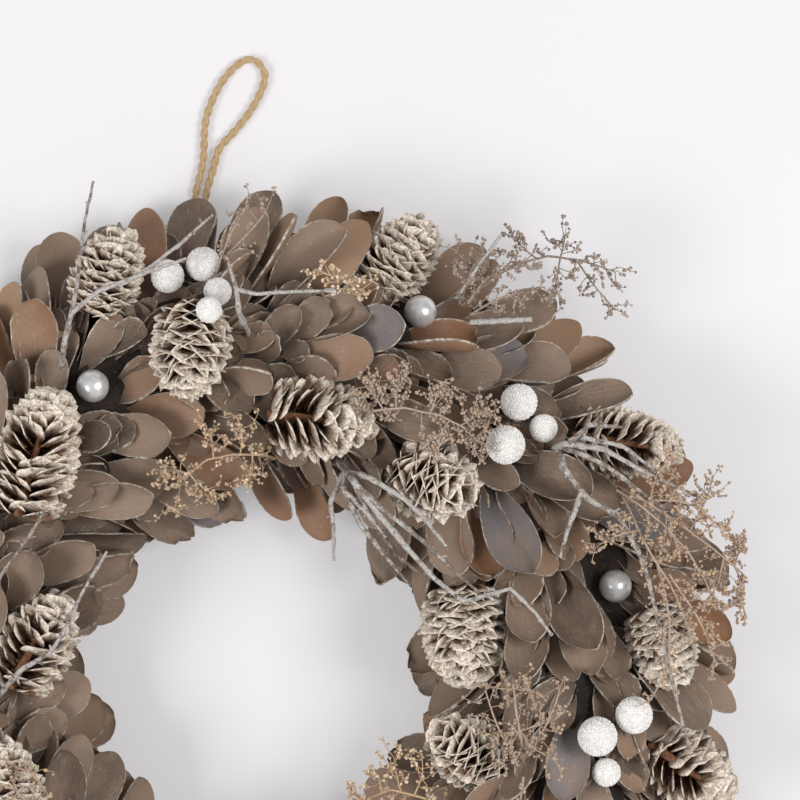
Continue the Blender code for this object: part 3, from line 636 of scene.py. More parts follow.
while len(spots) < STRAW_COUNT:
    theta = rng.uniform(0, math.tau)
    corner = len(section) - 1
    if rng.random() < OVER_SHARE:
        corner = rng.uniform(0, corner)
    first = int(corner)
    share = corner - first if first < len(section) - 1 else rng.random()
    (r0, z0), (r1, z1) = section[first], section[(first + 1) % len(section)]
    radial, clockwise, up = clockwise_frame(theta)
    reach, level = r0 + (r1 - r0) * share, z0 + (z1 - z0) * share
    tilt = rng.uniform(-STRAW_TILT, STRAW_TILT)
    across = (radial * (r1 - r0) + up * (z1 - z0)).normalized()
    along = clockwise * math.cos(tilt) + across * math.sin(tilt)
    outward = across.cross(clockwise).normalized()
    if outward.dot(radial * reach + up * (level - WIDEST_LEVEL)) < 0:
        outward = -outward
    matrix = Matrix((along, outward.cross(along), outward)).transposed().to_4x4()
    matrix.translation = radial * (RING_RADIUS + reach) + up * level
    thick = rng.uniform(*STRAW_THICKNESS) * MM
    size = rng.uniform(*STRAW_LENGTH) * MM
    if level - abs(along.z) * size / 2 - thick > STRAW_CLEARANCE:
        spots.append((matrix, (size, thick, thick), 0, rng.random()))
straw_layer = plant("straw_layer", straw_kit, spots, straw_finish)
wind = []
inward, upward = BINDING_CORNER
loop = [(BACK_HALF - inward, BINDING_LEVEL), (BACK_HALF, BINDING_LEVEL + upward),
        *rim(0.0, FOOT_LEVEL),
        (-BACK_HALF, BINDING_LEVEL + upward), (inward - BACK_HALF, BINDING_LEVEL)]
for turn in range(BINDINGS):
    for corner, (r, z) in enumerate(loop):
        theta = math.tau * (turn + corner / len(loop)) / BINDINGS
        radial, _, up = clockwise_frame(theta)
        wind.append(radial * (RING_RADIUS + r) + up * z)
binding = rods("binding", [(wind, (BINDING_RADIUS, BINDING_RADIUS), 0.5)], binding_finish,
               sides=6, step=2.4 * MM)
dress(straw_body, "straw", "straw_ring")
dress(straw_layer, "straw")
dress(binding, "straw")


# The shavings: thin oval slices of wood, stained taupe and pale where they are cut. Many
# are pairs on one root. They are glued by their roots in rows on a bed, whose near black
# colour is painted shade, and lean clockwise, outwards at the outer edge and inwards at the
# hole. Painted shade also darkens their roots and the lower shavings.
MAT_CLEARANCE = 0.4 * MM
MAT_THICKNESS = 6 * MM
FACETS = 32
SECTORS = 8
SECTOR_ANGLE = math.tau / SECTORS
SHAVING_LENGTH = (34 * MM, 43 * MM)
SHAVING_WIDTH = (16 * MM, 19.5 * MM)
SHAVING_THICKNESS = 1.2 * MM
SHAVING_PITCH = 23.5 * MM
SHAVING_LANES = (2.35, -2.3, 1.6, -1.55, 0.8, -0.8, 0.0)
FILL_LANES = (0.4, -0.4, 1.2, -1.2)
LANE_LIMIT = 2.6
LANE_TURN = 36              # degrees outwards for each lane from the crown
ROOT_DEPTH = 3.2 * MM
STRAIGHT_SHARE = 0.4
PAIR_SHARE = 0.3
PAIR_SHIFT = 0.34           # of the width, to each side of the shared root
TIP_SHARE = 0.46
TIP_STATIONS = (0.4, 0.75, 1.0)
FOUND_WITHIN = 0.05 * MM
TRIES = 24
SEED = 2107
OVERHANG = 12 * MM
SECTOR_MARGIN = 4.5 * MM
MAT_RIM = rim(MAT_CLEARANCE + MAT_THICKNESS, FOOT_LEVEL - 0.5 * MM)
BENDS = tuple(-12 + 46 * k / 7 for k in range(8))
TWISTS = (-9, 0, 9)
STATIONS = (0.0, 0.14, 0.3, 0.46, 0.6, 0.72, 0.82, 0.9, 0.955, 0.988, 1.0)
LINES = (-1.0, -0.84, -0.44, 0.0, 0.44, 0.84, 1.0)
COARSE_STATIONS = (0.0, 0.3, 0.55, 0.75, 0.89, 0.97, 1.0)
COARSE_LINES = (-1.0, -0.6, 0.0, 0.6, 1.0)
CUP_DEEPEST = 0.24
RAGGED_SHARE = 0.16


def facet_shrink(theta):
    """How far a flat facet lies inside the round at an angle."""
    facet = math.tau / FACETS
    return math.cos(facet / 2) / math.cos(theta % facet - facet / 2)


def mat_point(theta, lane):
    """A point on the bed, with the outward slope and the normal there."""
    radial, _, up = clockwise_frame(theta)
    place = 3 - lane
    first = min(int(place), len(MAT_RIM) - 2)
    share = place - first
    (r0, z0), (r1, z1) = MAT_RIM[first], MAT_RIM[first + 1]
    reach = (RING_RADIUS + r0 + (r1 - r0) * share) * facet_shrink(theta)
    slope = math.radians(45 * max(-2.2, min(2.2, lane)))
    normal = radial * math.sin(slope) + up * math.cos(slope)
    outward = radial * math.cos(slope) - up * math.sin(slope)
    return radial * reach + up * (z0 + (z1 - z0) * share), outward, normal


def shaving_matrix(theta, lane, turn, lift, roll, shift=0.0):
    """Where a shaving stands: turned from clockwise towards the outside, and lifted."""
    _, clockwise, _ = clockwise_frame(theta)
    point, outward, normal = mat_point(theta, lane)
    run = clockwise * math.cos(turn) + outward * math.sin(turn)
    along = run * math.cos(lift) + normal * math.sin(lift)
    face = normal * math.cos(lift) - run * math.sin(lift)
    side = face.cross(along)
    face_rolled = face * math.cos(roll) + side * math.sin(roll)
    side_rolled = face_rolled.cross(along)
    stand = Matrix((along, side_rolled, face_rolled)).transposed().to_4x4()
    stand.translation = point - normal * ROOT_DEPTH + side * shift
    return stand


def draw_shavings(index, lane, theta):
    """The draws for one place in a row: one shaving, or a pair on one root."""
    for attempt in range(TRIES):
        rng = random.Random(SEED + index * 100 + attempt)
        loose = 0.5 + 1.3 * attempt / TRIES
        spot = theta + rng.uniform(-3, 3) * MM * loose / RING_RADIUS
        row = lane + rng.uniform(-0.12, 0.12) * loose
        row = max(-LANE_LIMIT, min(LANE_LIMIT, row))
        turn = math.radians(LANE_TURN * lane + rng.uniform(-20, 20) * loose)
        lift = math.radians(27 + 15 * abs(lane) + rng.uniform(-7, 9) * loose)
        roll = math.radians(rng.uniform(-20, 20) * loose)
        length = rng.uniform(*SHAVING_LENGTH)
        width = rng.uniform(*SHAVING_WIDTH)
        bend = math.radians(rng.uniform(-12, 34))
        twist = math.radians(rng.uniform(-14, 14))
        paired = rng.random() < PAIR_SHARE and attempt < TRIES // 2
        if not paired:
            yield [(spot, row, turn, lift, roll, 0.0, length, width, bend, twist)]
            continue
        splay = math.radians(rng.uniform(20, 28))
        wing = math.radians(rng.uniform(8, 24))
        shift = width * PAIR_SHIFT
        yield [
            (spot, row, turn + side * splay, lift, side * wing, side * shift,
             length * (1 - 0.06 * side), width, bend, twist)
            for side in (-1, 1)
        ]


def bent_place(share, bend):
    """Middle, heading and face of a bent strip of length 1 at a share of its length."""
    place = Vector((min(share, STRAIGHT_SHARE), 0, 0))
    if share > STRAIGHT_SHARE:
        heading = bend * (share - STRAIGHT_SHARE) / (1 - STRAIGHT_SHARE)
        middle = heading / 2
        place += Vector((math.cos(middle), 0, -math.sin(middle))) * (share - STRAIGHT_SHARE)
    else:
        heading = 0.0
    return (place, Vector((math.cos(heading), 0, -math.sin(heading))),
            Vector((math.sin(heading), 0, math.cos(heading))))


def tip_corners(length, width, bend, twist):
    """The four corners of a packed shaving's tip."""
    place = Vector((0, 0, 0))
    before = 0.0
    for share in TIP_STATIONS:
        curl = max(0.0, (share - STRAIGHT_SHARE) / (1 - STRAIGHT_SHARE))
        curl_before = max(0.0, (before - STRAIGHT_SHARE) / (1 - STRAIGHT_SHARE))
        middle = bend * (curl + curl_before) / 2
        heading = Vector((math.cos(middle), 0, -math.sin(middle)))
        place = place + heading * (share - before) * length
        before = share
    along = Vector((math.cos(bend), 0, -math.sin(bend)))
    face = Vector((math.sin(bend), 0, math.cos(bend)))
    side = Vector((0, 1, 0)) * math.cos(twist) + face * math.sin(twist)
    up = along.cross(side)
    half = side * (TIP_SHARE * width / 2)
    rise = up * (SHAVING_THICKNESS / 2)
    return [place + a * half + b * rise for a in (-1, 1) for b in (-1, 1)]


def packed_shavings():
    """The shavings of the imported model: matrix, length, width, bend, twist, sector."""
    trees = []
    for sector in range(SECTORS):
        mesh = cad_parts[f"shavings_{sector + 1}"].data
        tree = KDTree(len(mesh.vertices))
        for index, vertex in enumerate(mesh.vertices):
            tree.insert(vertex.co, index)
        tree.balance()
        trees.append(tree)
    found = []
    index = 0
    for lane in (*SHAVING_LANES, *FILL_LANES):
        side = OVERHANG if lane > 1 else -OVERHANG if lane < -1 else 0
        row_radius = mat_point(0.0, lane)[0].x / facet_shrink(0.0) + side
        places = round(math.tau * row_radius / SHAVING_PITCH)
        for place in range(places):
            index += 1
            theta = math.tau * (place + 0.5 * (index % 2)) / places % math.tau
            sector = int(theta / SECTOR_ANGLE) % SECTORS
            near = sector * SECTOR_ANGLE + SECTOR_MARGIN / row_radius
            far = (sector + 1) * SECTOR_ANGLE - SECTOR_MARGIN / row_radius
            for draw in draw_shavings(index, lane, theta):
                blades = []
                for spot, row, turn, lift, roll, shift, length, width, bend, twist in draw:
                    spot = min(max(spot, near), far)
                    stand = shaving_matrix(spot, row, turn, lift, roll, shift)
                    away = max(trees[sector].find(stand @ corner)[2]
                               for corner in tip_corners(length, width, bend, twist))
                    if away < FOUND_WITHIN:
                        blades.append((stand, length, width, bend, twist, sector))
                if len(blades) == len(draw):
                    found += blades
                    break
    return found


def oval_share(share):
    """Half the width of a shaving along its length, as a share of its widest."""
    if share < 0.66:
        return 0.22 + 0.78 * math.sin(math.pi / 2 * share / 0.66) ** 0.9
    return math.sqrt(max(0.0, 1 - ((share - 0.66) / 0.343) ** 2.4))


def plate_faces(rows, columns):
    """The faces of a plate of two layers of points, and the edges round its first layer."""
    layer = rows * columns
    faces = []
    for row in range(rows - 1):
        for a in range(row * columns, (row + 1) * columns - 1):
            top = (a, a + columns, a + columns + 1, a + 1)
            under = (a, a + 1, a + columns + 1, a + columns)
            faces += [top, tuple(layer + corner for corner in under)]
    border = ([(0, c) for c in range(columns)]
              + [(r, columns - 1) for r in range(1, rows)]
              + [(rows - 1, c) for c in range(columns - 2, -1, -1)]
              + [(r, 0) for r in range(rows - 2, 0, -1)])
    loop = [r * columns + c for r, c in border]
    edges = list(zip(loop, loop[1:] + loop[:1]))
    return faces + [(a, b, layer + b, layer + a) for a, b in edges], edges


def shaving_shape(seed, bend, twist, coarse=False, thickness=0.03):
    """One thin oval shaving of length 1 and width 1, cupped, with a rough cut edge."""
    rng = random.Random(seed)
    cup = rng.uniform(0.0, CUP_DEEPEST)
    ragged = rng.random() < RAGGED_SHARE
    tip_curl = rng.uniform(-0.05, 0.05)
    stations = COARSE_STATIONS if coarse else STATIONS
    lines = COARSE_LINES if coarse else LINES
    vertices, rims, grains = [], [], []
    for face_side in (1, -1):
        for share in stations:
            wide = oval_share(share)
            for line in lines:
                chip = noise.noise(Vector((share * 9, line * 3, seed * 3.1)))
                edge = abs(line) ** 3
                reach = share - 0.03 * line * line * wide * max(0.0, share - 0.6) / 0.4
                if ragged and share > 0.9:
                    reach += 0.05 * chip - 0.03
                spot, _, face = bent_place(max(0.0, reach), bend)
                lean = twist * max(0.0, share - STRAIGHT_SHARE) / (1 - STRAIGHT_SHARE)
                side = Vector((0, 1, 0)) * math.cos(lean) + face * math.sin(lean)
                half = wide * 0.5 * line * (1 + 0.05 * chip * edge)
                depth = cup * (line * line - 0.35) * wide + tip_curl * max(0, share - 0.7)
                depth += 0.006 * noise.noise(Vector((share * 5, line * 2, seed * 1.3)))
                thin = thickness / 2 * (1 - 0.25 * edge)
                vertices.append(spot + Vector((0, side.y * half, side.z * half))
                                + face * (depth + face_side * thin))
                rims.append(1.0 if abs(line) == 1.0 or share == 1.0 else 0.0)
                grains.append((share, line, seed * 0.37))
    faces, edges = plate_faces(len(stations), len(lines))
    shape = mesh_object("shaving", vertices, faces, smooth=True)
    store(shape, "rim", "FLOAT", rims)
    store(shape, "grain", "FLOAT_VECTOR", grains)
    layer = len(vertices) // 2
    sharp = {frozenset((a + lift, b + lift)) for lift in (0, layer) for a, b in edges}
    for edge in shape.data.edges:
        edge.use_edge_sharp = frozenset(edge.vertices) in sharp
    face_outwards(shape)
    return shape


shaving_finish, wire, sockets = new_finish("stained_shaving", 0.72)
coords, tone, grain = wire.coords(), wire.stored("tone"), wire.stored("grain", "Vector")
along = grain.add_node("ShaderNodeSeparateXYZ", {"Vector": grain})["X"]
offset = wire.add_node("ShaderNodeCombineXYZ", {"X": tone * 31.0, "Y": tone * 17.0})
grain = wire.add_node("ShaderNodeVectorMath", {0: grain, 1: offset}, operation="ADD")
stain = tone.ramp(
    (0.0, shade(64, 51, 43)), (0.18, shade(92, 75, 63)), (0.4, shade(126, 105, 90)),
    (0.58, shade(146, 122, 103)), (0.7, shade(142, 106, 80)), (0.8, shade(152, 102, 64)),
    (0.88, shade(172, 136, 104)), (0.93, shade(104, 102, 106)), (1.0, shade(122, 120, 124)))
streaks = grain.stretch(2.2, 16.0, 1.0).speckle(3.0, 5.0, 0.65)
clouds = coords.speckle(55.0)
worn = clouds.between(0.5, 0.75) * 0.55
bare = worn.blend(stain, shade(144, 110, 82))
lined = streaks.between(0.25, 0.8).blend(bare, shade(154, 134, 116))
lined = (clouds.between(0.3, 0.6) * 0.75 + 0.25).blend(bare, lined)
specks = coords.speckle(900.0, 2.0)
crumbs = specks.between(0.64, 0.72) * 0.5
dust_and_root_shade = crumbs.blend(lined, shade(180, 168, 154))
# Painted shade: each shaving darkens towards its root, where the shavings overlap.
dust_and_root_shade = (along.between(0.0, 0.6) * 0.6 + 0.4).blend(shade(40, 32, 27), dust_and_root_shade)
frayed = coords.speckle(420.0, 3.0, 0.7)
edge_mask = (wire.stored("rim") + (frayed - 0.5) * 0.7).between(0.68, 1.02)
pale = frayed.between(0.35, 0.65).blend(shade(132, 118, 104), shade(206, 196, 182))
connect(edge_mask.blend(dust_and_root_shade, pale), sockets["Base Color"])
height = streaks * 0.5 + specks * 0.3 + edge_mask * frayed * 0.6
connect(relief(height, 0.35 * MM, 0.8), sockets["Normal"])

BED_SINK = 0.3 * MM
BED_SHRINK = 0.985
BED_STEPS = 128
# The bed's near black colour is painted shade, which shows in the gaps between the
# shavings.
bed_painted_shade_finish = body_finish("bed_in_painted_shade", 0.95, shade(30, 24, 20), shade(58, 47, 40),
                         shade(88, 74, 62), 90.0, 0.6 * MM)

shapes = [shaving_shape(40 + number, math.radians(bend), math.radians(twist))
          for number, (bend, twist) in enumerate((b, t) for b in BENDS for t in TWISTS)]
filler_first = len(shapes)
FILLER_BENDS = (*BENDS, 48, 66)
shapes += [shaving_shape(90 + number, math.radians(bend), 0.0, coarse=True, thickness=0.034)
           for number, bend in enumerate(FILLER_BENDS)]
shaving_kit = make_kit("shavings", shapes)

TABLE_GAP = 2.0 * MM
BEAD_GAP = 3.0 * MM         # more room round a bead, which shows in a dark hollow
DOWN = Vector((0, 0, -1))
guards, ball_trees = [], []
for name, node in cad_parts.items():
    if name.startswith(("cone", "silver", "frosted")):
        copy = bmesh.new()
        copy.from_mesh(node.data)
        guards.append((BVHTree.FromBMesh(copy), BEAD_GAP if name[0] == "s" else 0.0))
        if name[0] != "c":
            ball_trees.append(guards[-1][0])
        copy.free()


def blade_spot(blade, share, line, blunt=0.95):
    """A point on a shaving: how far along its length and across its half width."""
    stand, length, width, bend = blade
    place, _, _ = bent_place(share, bend)
    half = oval_share(min(share, blunt)) * width / 2
    return stand @ Vector((place.x * length, line * half, place.z * length))


def over_balls(spot):
    """Whether a bead or a berry lies straight below a point."""
    return any(tree.ray_cast(spot, DOWN)[0] for tree in ball_trees)


def clear_of_trimmings(blade, clearance):
    """Whether a shaving keeps off the table and the trimmings, and covers no ball."""
    for share in (0.35, 0.6, 0.8, 1.0):
        for line in (-1, 0, 1):
            spot = blade_spot(blade, share, line)
            if spot.z < TABLE_GAP or over_balls(spot):
                return False
            if any(tree.find_nearest(spot, clearance + gap)[0] for tree, gap in guards
                   if clearance or gap):
                return False
    return True


STANDING_OUT = (        # x and y (mm) and tone of shavings whose colour stands out
    (119, 4, 0.8), (97, 51, 0.97), (13, 64, 0.78), (79, 44, 0.79),
    (35, 161, 0.86), (113, 122, 0.88), (-95, 128, 0.87), (127, 117, 0.95),
)
STANDING_OUT_WITHIN = 11 * MM
TONES = (               # share of the shavings up to here, and their range of tones
    (0.76, 0.14, 0.62), (0.9, 0.62, 0.8), (0.95, 0.8, 0.9), (1.0, 0.93, 1.0),
)


def tone_at(stand, length, rng):
    """The stain of a shaving: mostly taupe, with some browns, pinks and slates."""
    middle = stand @ Vector((0.6 * length, 0, 0))
    for x, y, tone in STANDING_OUT:
        if math.hypot(middle.x - x * MM, middle.y - y * MM) < STANDING_OUT_WITHIN:
            return tone
    draw = rng.random()
    return next(rng.uniform(first, last) for limit, first, last in TONES
                if draw < limit)


rng = random.Random(5)
spots = [[] for _ in range(SECTORS)]
main_shavings = packed_shavings()
for stand, length, width, bend, twist, sector in main_shavings:
    degrees = math.degrees(bend)
    pick = min(range(len(BENDS)), key=lambda k: abs(BENDS[k] - degrees)) * len(TWISTS)
    pick += min(range(len(TWISTS)), key=lambda k: abs(TWISTS[k] - math.degrees(twist)))
    spots[sector].append((stand, (length, width, length), pick,
                          tone_at(stand, length, rng)))
COVER_RISE = 2.3 * MM       # of the lowest shavings, which lie on the bed
FILLER_LENGTH = (27, 35)
FILLER_WIDTH = (14, 18)
FILLER_TRIES = 14
FILLER_LANES = 2.9          # the outermost on either side
FILLER_TURNS = 2.4          # lanes beyond this one turn no further outwards
TIP_LEVEL = 4 * MM
TIP_RADII = (58 * MM, 178 * MM)
FILLERS = (             # lane, pitch (mm), size, lift (degrees), room to trimmings (mm)
    (2.75, 16, 0.8, 50, 1.0), (2.1, 14, 0.95, 44, 1.0), (1.3, 13, 0.9, 36, 1.0),
    (0.5, 12, 0.88, 30, 1.0), (-0.3, 12, 0.88, 28, 1.0), (-1.1, 12, 0.88, 34, 1.0),
    (-1.9, 14, 0.9, 42, 1.0), (-2.6, 16, 0.8, 50, 1.0),
    (0.9, 12, 0.64, 27, 0.6), (0.1, 12, 0.64, 24, 0.6), (-0.7, 12, 0.64, 26, 0.6),
    (1.7, 13, 0.64, 34, 0.6), (-1.5, 13, 0.64, 34, 0.6),
    (1.5, 10, 0.8, 12, 0.0), (0.9, 10, 0.8, 12, 0.0), (0.3, 10, 0.8, 12, 0.0),
    (-0.3, 10, 0.8, 12, 0.0), (-0.9, 10, 0.8, 12, 0.0), (-1.5, 10, 0.8, 12, 0.0),
)
corners, quads = [], []
for stand, length, width, bend, _, _ in main_shavings:
    first = len(corners)
    corners += [blade_spot((stand, length, width, bend), share, line)
                for share in (0.1, 0.4, 0.7, 0.9, 1.0) for line in (-1, 1)]
    quads += [(k, k + 1, k + 3, k + 2) for k in range(first, first + 8, 2)]
main_faces = BVHTree.FromPolygons(corners, quads)


def cuts_main(blade):
    """Whether a shaving would run through one of the main shavings."""
    for line in (-0.9, 0.0, 0.9):
        spots = [blade_spot(blade, share, line, 0.93) for share in (0.25, 0.5, 0.75, 1.0)]
        for start, end in zip(spots, spots[1:]):
            run = end - start
            if main_faces.ray_cast(start, run.normalized(), run.length)[0]:
                return True
    return False


for lane, pitch, share, rise, clearance in FILLERS:
    row_radius = mat_point(0.0, lane)[0].x
    places = round(math.tau * row_radius / (pitch * MM))
    for place in range(places):
        theta = math.tau * (place + rng.uniform(-0.3, 0.3)) / places % math.tau
        for _ in range(FILLER_TRIES):
            row = max(-FILLER_LANES, min(FILLER_LANES, lane + rng.uniform(-0.3, 0.3)))
            outer = max(-FILLER_TURNS, min(FILLER_TURNS, lane))
            turn = math.radians(LANE_TURN * outer + rng.uniform(-40, 40))
            degrees = rise + rng.uniform(-6, 14 if clearance else 4)
            roll = math.radians(rng.uniform(-35, 35) * min(1.0, rise / 30))
            length = rng.uniform(*FILLER_LENGTH) * MM * share
            width = rng.uniform(*FILLER_WIDTH) * MM * share
            pick = rng.randrange(sum(bend < degrees + 4 for bend in FILLER_BENDS))
            bend = math.radians(FILLER_BENDS[pick])
            stand = shaving_matrix(theta, row, turn, math.radians(degrees), roll)
            if not clearance:
                stand.translation += stand.col[2].xyz * COVER_RISE
            tip = stand @ Vector((length, 0, 0))
            blade = stand, length, width, bend
            if (tip.z > TIP_LEVEL
                    and TIP_RADII[0] < math.hypot(tip.x, tip.y) < TIP_RADII[1]
                    and not cuts_main(blade) and clear_of_trimmings(blade, clearance * MM)):
                break
        else:
            continue
        sector = int(theta / SECTOR_ANGLE) % SECTORS
        # Painted shade: the fillers, which lie under the main shavings, get a darker tone,
        # and the lowest, on the bed, a darker one still.
        tone = tone_at(stand, length, rng) * (0.9 if clearance else 0.7)
        spots[sector].append((stand, (length, width, length), filler_first + pick, tone))
for sector in range(SECTORS):
    shavings = plant(f"shaving_rows_{sector + 1}", shaving_kit, spots[sector],
                     shaving_finish)
    dress(shavings, "taupe_wood", f"shavings_{sector + 1}")
bed_section = [(r * BED_SHRINK, z - BED_SINK) for r, z in MAT_RIM]
bed_section += [(r, z + BED_SINK) for r, z in reversed(rim(MAT_CLEARANCE, FOOT_LEVEL))]
bed = turned_ring("shaving_bed", bed_section, BED_STEPS, bed_painted_shade_finish, smooth=False)
dress(bed, "taupe_wood")


# The cones: small dried conifer cones of thin papery scales in rows, brown inside and
# brushed with white lime on their lips. They are glued on their side between shavings.
CONES = (               # x, y, heading, pitch, length, width (mm and degrees)
    (-54, 147, 70, 10, 30, 23),
    (-23, 122, 265, 25, 30, 26),
    (52, 154, 50, 10, 30, 24),
    (22, 95, -5, 5, 33, 27),
    (65, 73, -20, 40, 28, 26),
    (-79, 82, 74, 5, 43, 28),
    (-82, 13, 60, 5, 33, 26),
    (77, 18, -85, 15, 32, 28),
    (133, 86, -8, 5, 36, 23),
    (149, 14, -70, 5, 27, 22),
    (78, -26, 140, 35, 26, 23),
    (158, -33, -35, 5, 33, 25),
    (-89, -40, 100, 5, 31, 24),
)
CONES_REPEATED = (0, 1, 2, 3, 4, 5, 8, 9)
SCALE_PITCH = 1.9 * MM
SCALES_ROUND = 5
SCALE_SHAPES = 6
SCALE_STATIONS = (0.25, 0.55, 0.8, 0.93, 1.0)
SCALE_LINES = (-1.0, -0.6, -0.2, 0.2, 0.6, 1.0)
SCALE_TILT = (20, 48)       # degrees at the foot, and how much is added up to the tip
SPLIT_CONES = (3, 5, 6, 8, 11)      # their upper scales are off, and show the stem
SPLIT_END = 0.76
SPLIT_FACING = 0.8          # how much the scales that are off faced up
STEM_RISE = 0.52            # of a bare stem, as a share of the cone's radius
STEM_RADII = (1.9 * MM, 1.0 * MM)
SEAM_RISE = 1.3 * MM        # of a dark seam along a bare stem
SEAM_RADII = (0.7 * MM, 0.4 * MM)


def scale_shape(seed):
    """One papery cone scale of length 1 along X, with a wavy lip that curls to +Z."""
    rng = random.Random(seed)
    vertices, lips = [], []
    notch = rng.uniform(-0.5, 0.5)
    for face_side in (1, -1):
        for share in SCALE_STATIONS:
            for line in SCALE_LINES:
                wave = noise.noise(Vector((line * 2.3, share * 2, seed * 2.7)))
                reach = share * (1 - 0.1 * line * line) + 0.11 * wave * share
                reach -= 0.07 * max(0.0, 1 - abs(line - notch) * 4) * (share > 0.9)
                half = 0.78 * math.sin(math.pi / 2 * min(1.0, share / 0.85)) * line
                lift = 0.16 * share ** 3 - 0.1 * line * line * share + 0.05 * wave
                thin = 0.018 if share < 0.95 else 0.012
                vertices.append((reach, half, lift + face_side * thin))
                lips.append(share + 0.15 * wave)
    faces, _ = plate_faces(len(SCALE_STATIONS), len(SCALE_LINES))
    shape = mesh_object("scale", vertices, faces, smooth=True)
    store(shape, "lip", "FLOAT", lips)
    face_outwards(shape)
    return shape


def cone_envelope(share):
    """A cone's radius along its length, as a share of its widest."""
    return math.sqrt(max(0.03, 1 - ((share - 0.38) / 0.66) ** 2))


cone_finish, wire, sockets = new_finish("limed_cone_scale", 0.85)
coords, lip, tone = wire.coords(), wire.stored("lip"), wire.stored("tone")
patches = coords.speckle(260.0, 4.0, 0.7)
flakes = coords.speckle(900.0, 3.0, 0.7)
brown = patches.between(0.35, 0.65).blend(shade(66, 46, 33), shade(134, 100, 74))
lime = flakes.between(0.35, 0.6).blend(shade(184, 165, 145), shade(246, 236, 222))
limed = (lip + patches * 0.7 + tone * 0.35).between(1.05, 1.45)
connect(limed.blend(brown, lime), sockets["Base Color"])
connect(relief(flakes + patches * 0.6, 0.4 * MM), sockets["Normal"])

stem_finish = body_finish("cone_stem", 0.8, shade(96, 58, 36), shade(150, 100, 66),
                          shade(196, 156, 122), 700.0, 0.3 * MM)

scale_kit = make_kit("scales", [scale_shape(seed) for seed in range(SCALE_SHAPES)])
cone_number = 0
for turn, chosen in ((0.0, range(len(CONES))), (math.pi, CONES_REPEATED)):
    whirl = Matrix.Rotation(turn, 3, "Z")
    for index in chosen:
        cone_number += 1
        node = f"cone_{cone_number:02d}"
        _, _, heading, pitch, length, width = CONES[index]
        length *= MM
        radius = width / 2 * MM
        azimuth, rise = math.radians(heading), math.radians(pitch)
        axis = whirl @ Vector((math.cos(azimuth) * math.cos(rise),
                               math.sin(azimuth) * math.cos(rise), math.sin(rise)))
        corners = [v.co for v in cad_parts[node].data.vertices]
        centre = (min(corners, key=axis.dot) + max(corners, key=axis.dot)) / 2
        pose = axis.to_track_quat("Z", "Y").to_matrix()
        rng = random.Random(300 + cone_number)
        rows = round(length * 0.95 / SCALE_PITCH)
        spots = []
        split = index in SPLIT_CONES
        lean = rng.uniform(0, math.tau)
        for row in range(rows):
            share = (row + 0.5) / rows
            reach = radius * cone_envelope(share)
            scales = SCALES_ROUND if share < 0.8 else SCALES_ROUND - 1
            tilt = math.radians(SCALE_TILT[0] + SCALE_TILT[1] * share ** 3)
            for number in range(scales):
                angle = lean + math.tau * (number + 0.5 * (row % 2)) / scales
                angle += rng.uniform(-0.2, 0.2)
                out = Vector((math.cos(angle), math.sin(angle), 0))
                if split and share < SPLIT_END and (pose @ out).z > SPLIT_FACING:
                    continue
                tangent = Vector((-math.sin(angle), math.cos(angle), 0))
                slope = tilt + rng.uniform(-0.1, 0.1)
                along = out * math.cos(slope) + Vector((0, 0, math.sin(slope)))
                up = along.cross(tangent)
                if up.z < 0:
                    up = -up
                stand = Matrix((along, up.cross(along), up)).transposed()
                size = reach / math.cos(slope) * rng.uniform(0.86, 0.97)
                size = min(size, radius * 1.25)
                drop = (share - 0.5) * length - 0.55 * size * math.sin(slope)
                place = centre + pose @ Vector((0, 0, drop))
                matrix = (pose @ stand).to_4x4()
                matrix.translation = place
                spots.append((matrix, (size, reach * 1.15, size),
                              rng.randrange(SCALE_SHAPES), rng.random()))
        scales = plant("scales", scale_kit, spots, cone_finish)
        upper = Vector((0, 0, 1)) - axis * axis.z
        upper.normalize()
        rises = (0.9, 1.0, 0.9, 0.6) if split else (0, 0, 0, 0)
        stem = [centre + axis * (length * (0.26 * k - 0.5))
                + upper * (radius * STEM_RISE * rise) for k, rise in enumerate(rises)]
        lines = [(stem, STEM_RADII, 0.5)]
        if split:
            seam = [point + upper * SEAM_RISE for point in stem]
            lines.append((seam, SEAM_RADII, 0.0))
        stem = rods("stem", lines, stem_finish, sides=8, step=2 * MM, wobble=0.3 * MM)
        cone = join(f"{node}_scales", [scales, stem])
        top = max(v.co.z for v in cone.data.vertices) - centre.z
        squash = min(1.0, (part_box(node)[1].z - centre.z) / top)
        for vertex in cone.data.vertices:
            if vertex.co.z > centre.z:
                vertex.co.z = centre.z + (vertex.co.z - centre.z) * squash
        dress(cone, "limed_cone", node)


# The beads: plastic pearls with a silver lacquer, each glued in a gap between shavings.
BEAD_RADIUS = 6 * MM
BEADS = 6


def solid_object(name, solid, material=None):
    """An object from a bmesh, smooth if it has a material, and the bmesh is freed."""
    mesh = bpy.data.meshes.new(name)
    solid.to_mesh(mesh)
    solid.free()
    if material:
        mesh.shade_smooth()
        mesh.materials.append(material)
    return show(name, mesh)


bead_finish, wire, sockets = new_finish("silver_pearl", 0.3, Metallic=0.5)
mottle = wire.coords().speckle(500.0, 2.0)
connect(mottle.between(0.3, 0.7).blend(shade(214, 215, 214), shade(236, 236, 235)),
        sockets["Base Color"])
connect(mottle * 0.12 + 0.24, sockets["Roughness"])
connect(relief(mottle, 0.02 * MM), sockets["Normal"])
for number in range(1, BEADS + 1):
    node = f"silver_bead_{number}"
    near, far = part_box(node)
    ball = bmesh.new()
    bmesh.ops.create_uvsphere(ball, u_segments=40, v_segments=24, radius=BEAD_RADIUS)
    bmesh.ops.translate(ball, verts=ball.verts, vec=(near + far) / 2)
    dress(solid_object(f"{node}_pearl", ball, bead_finish), "silver", node)


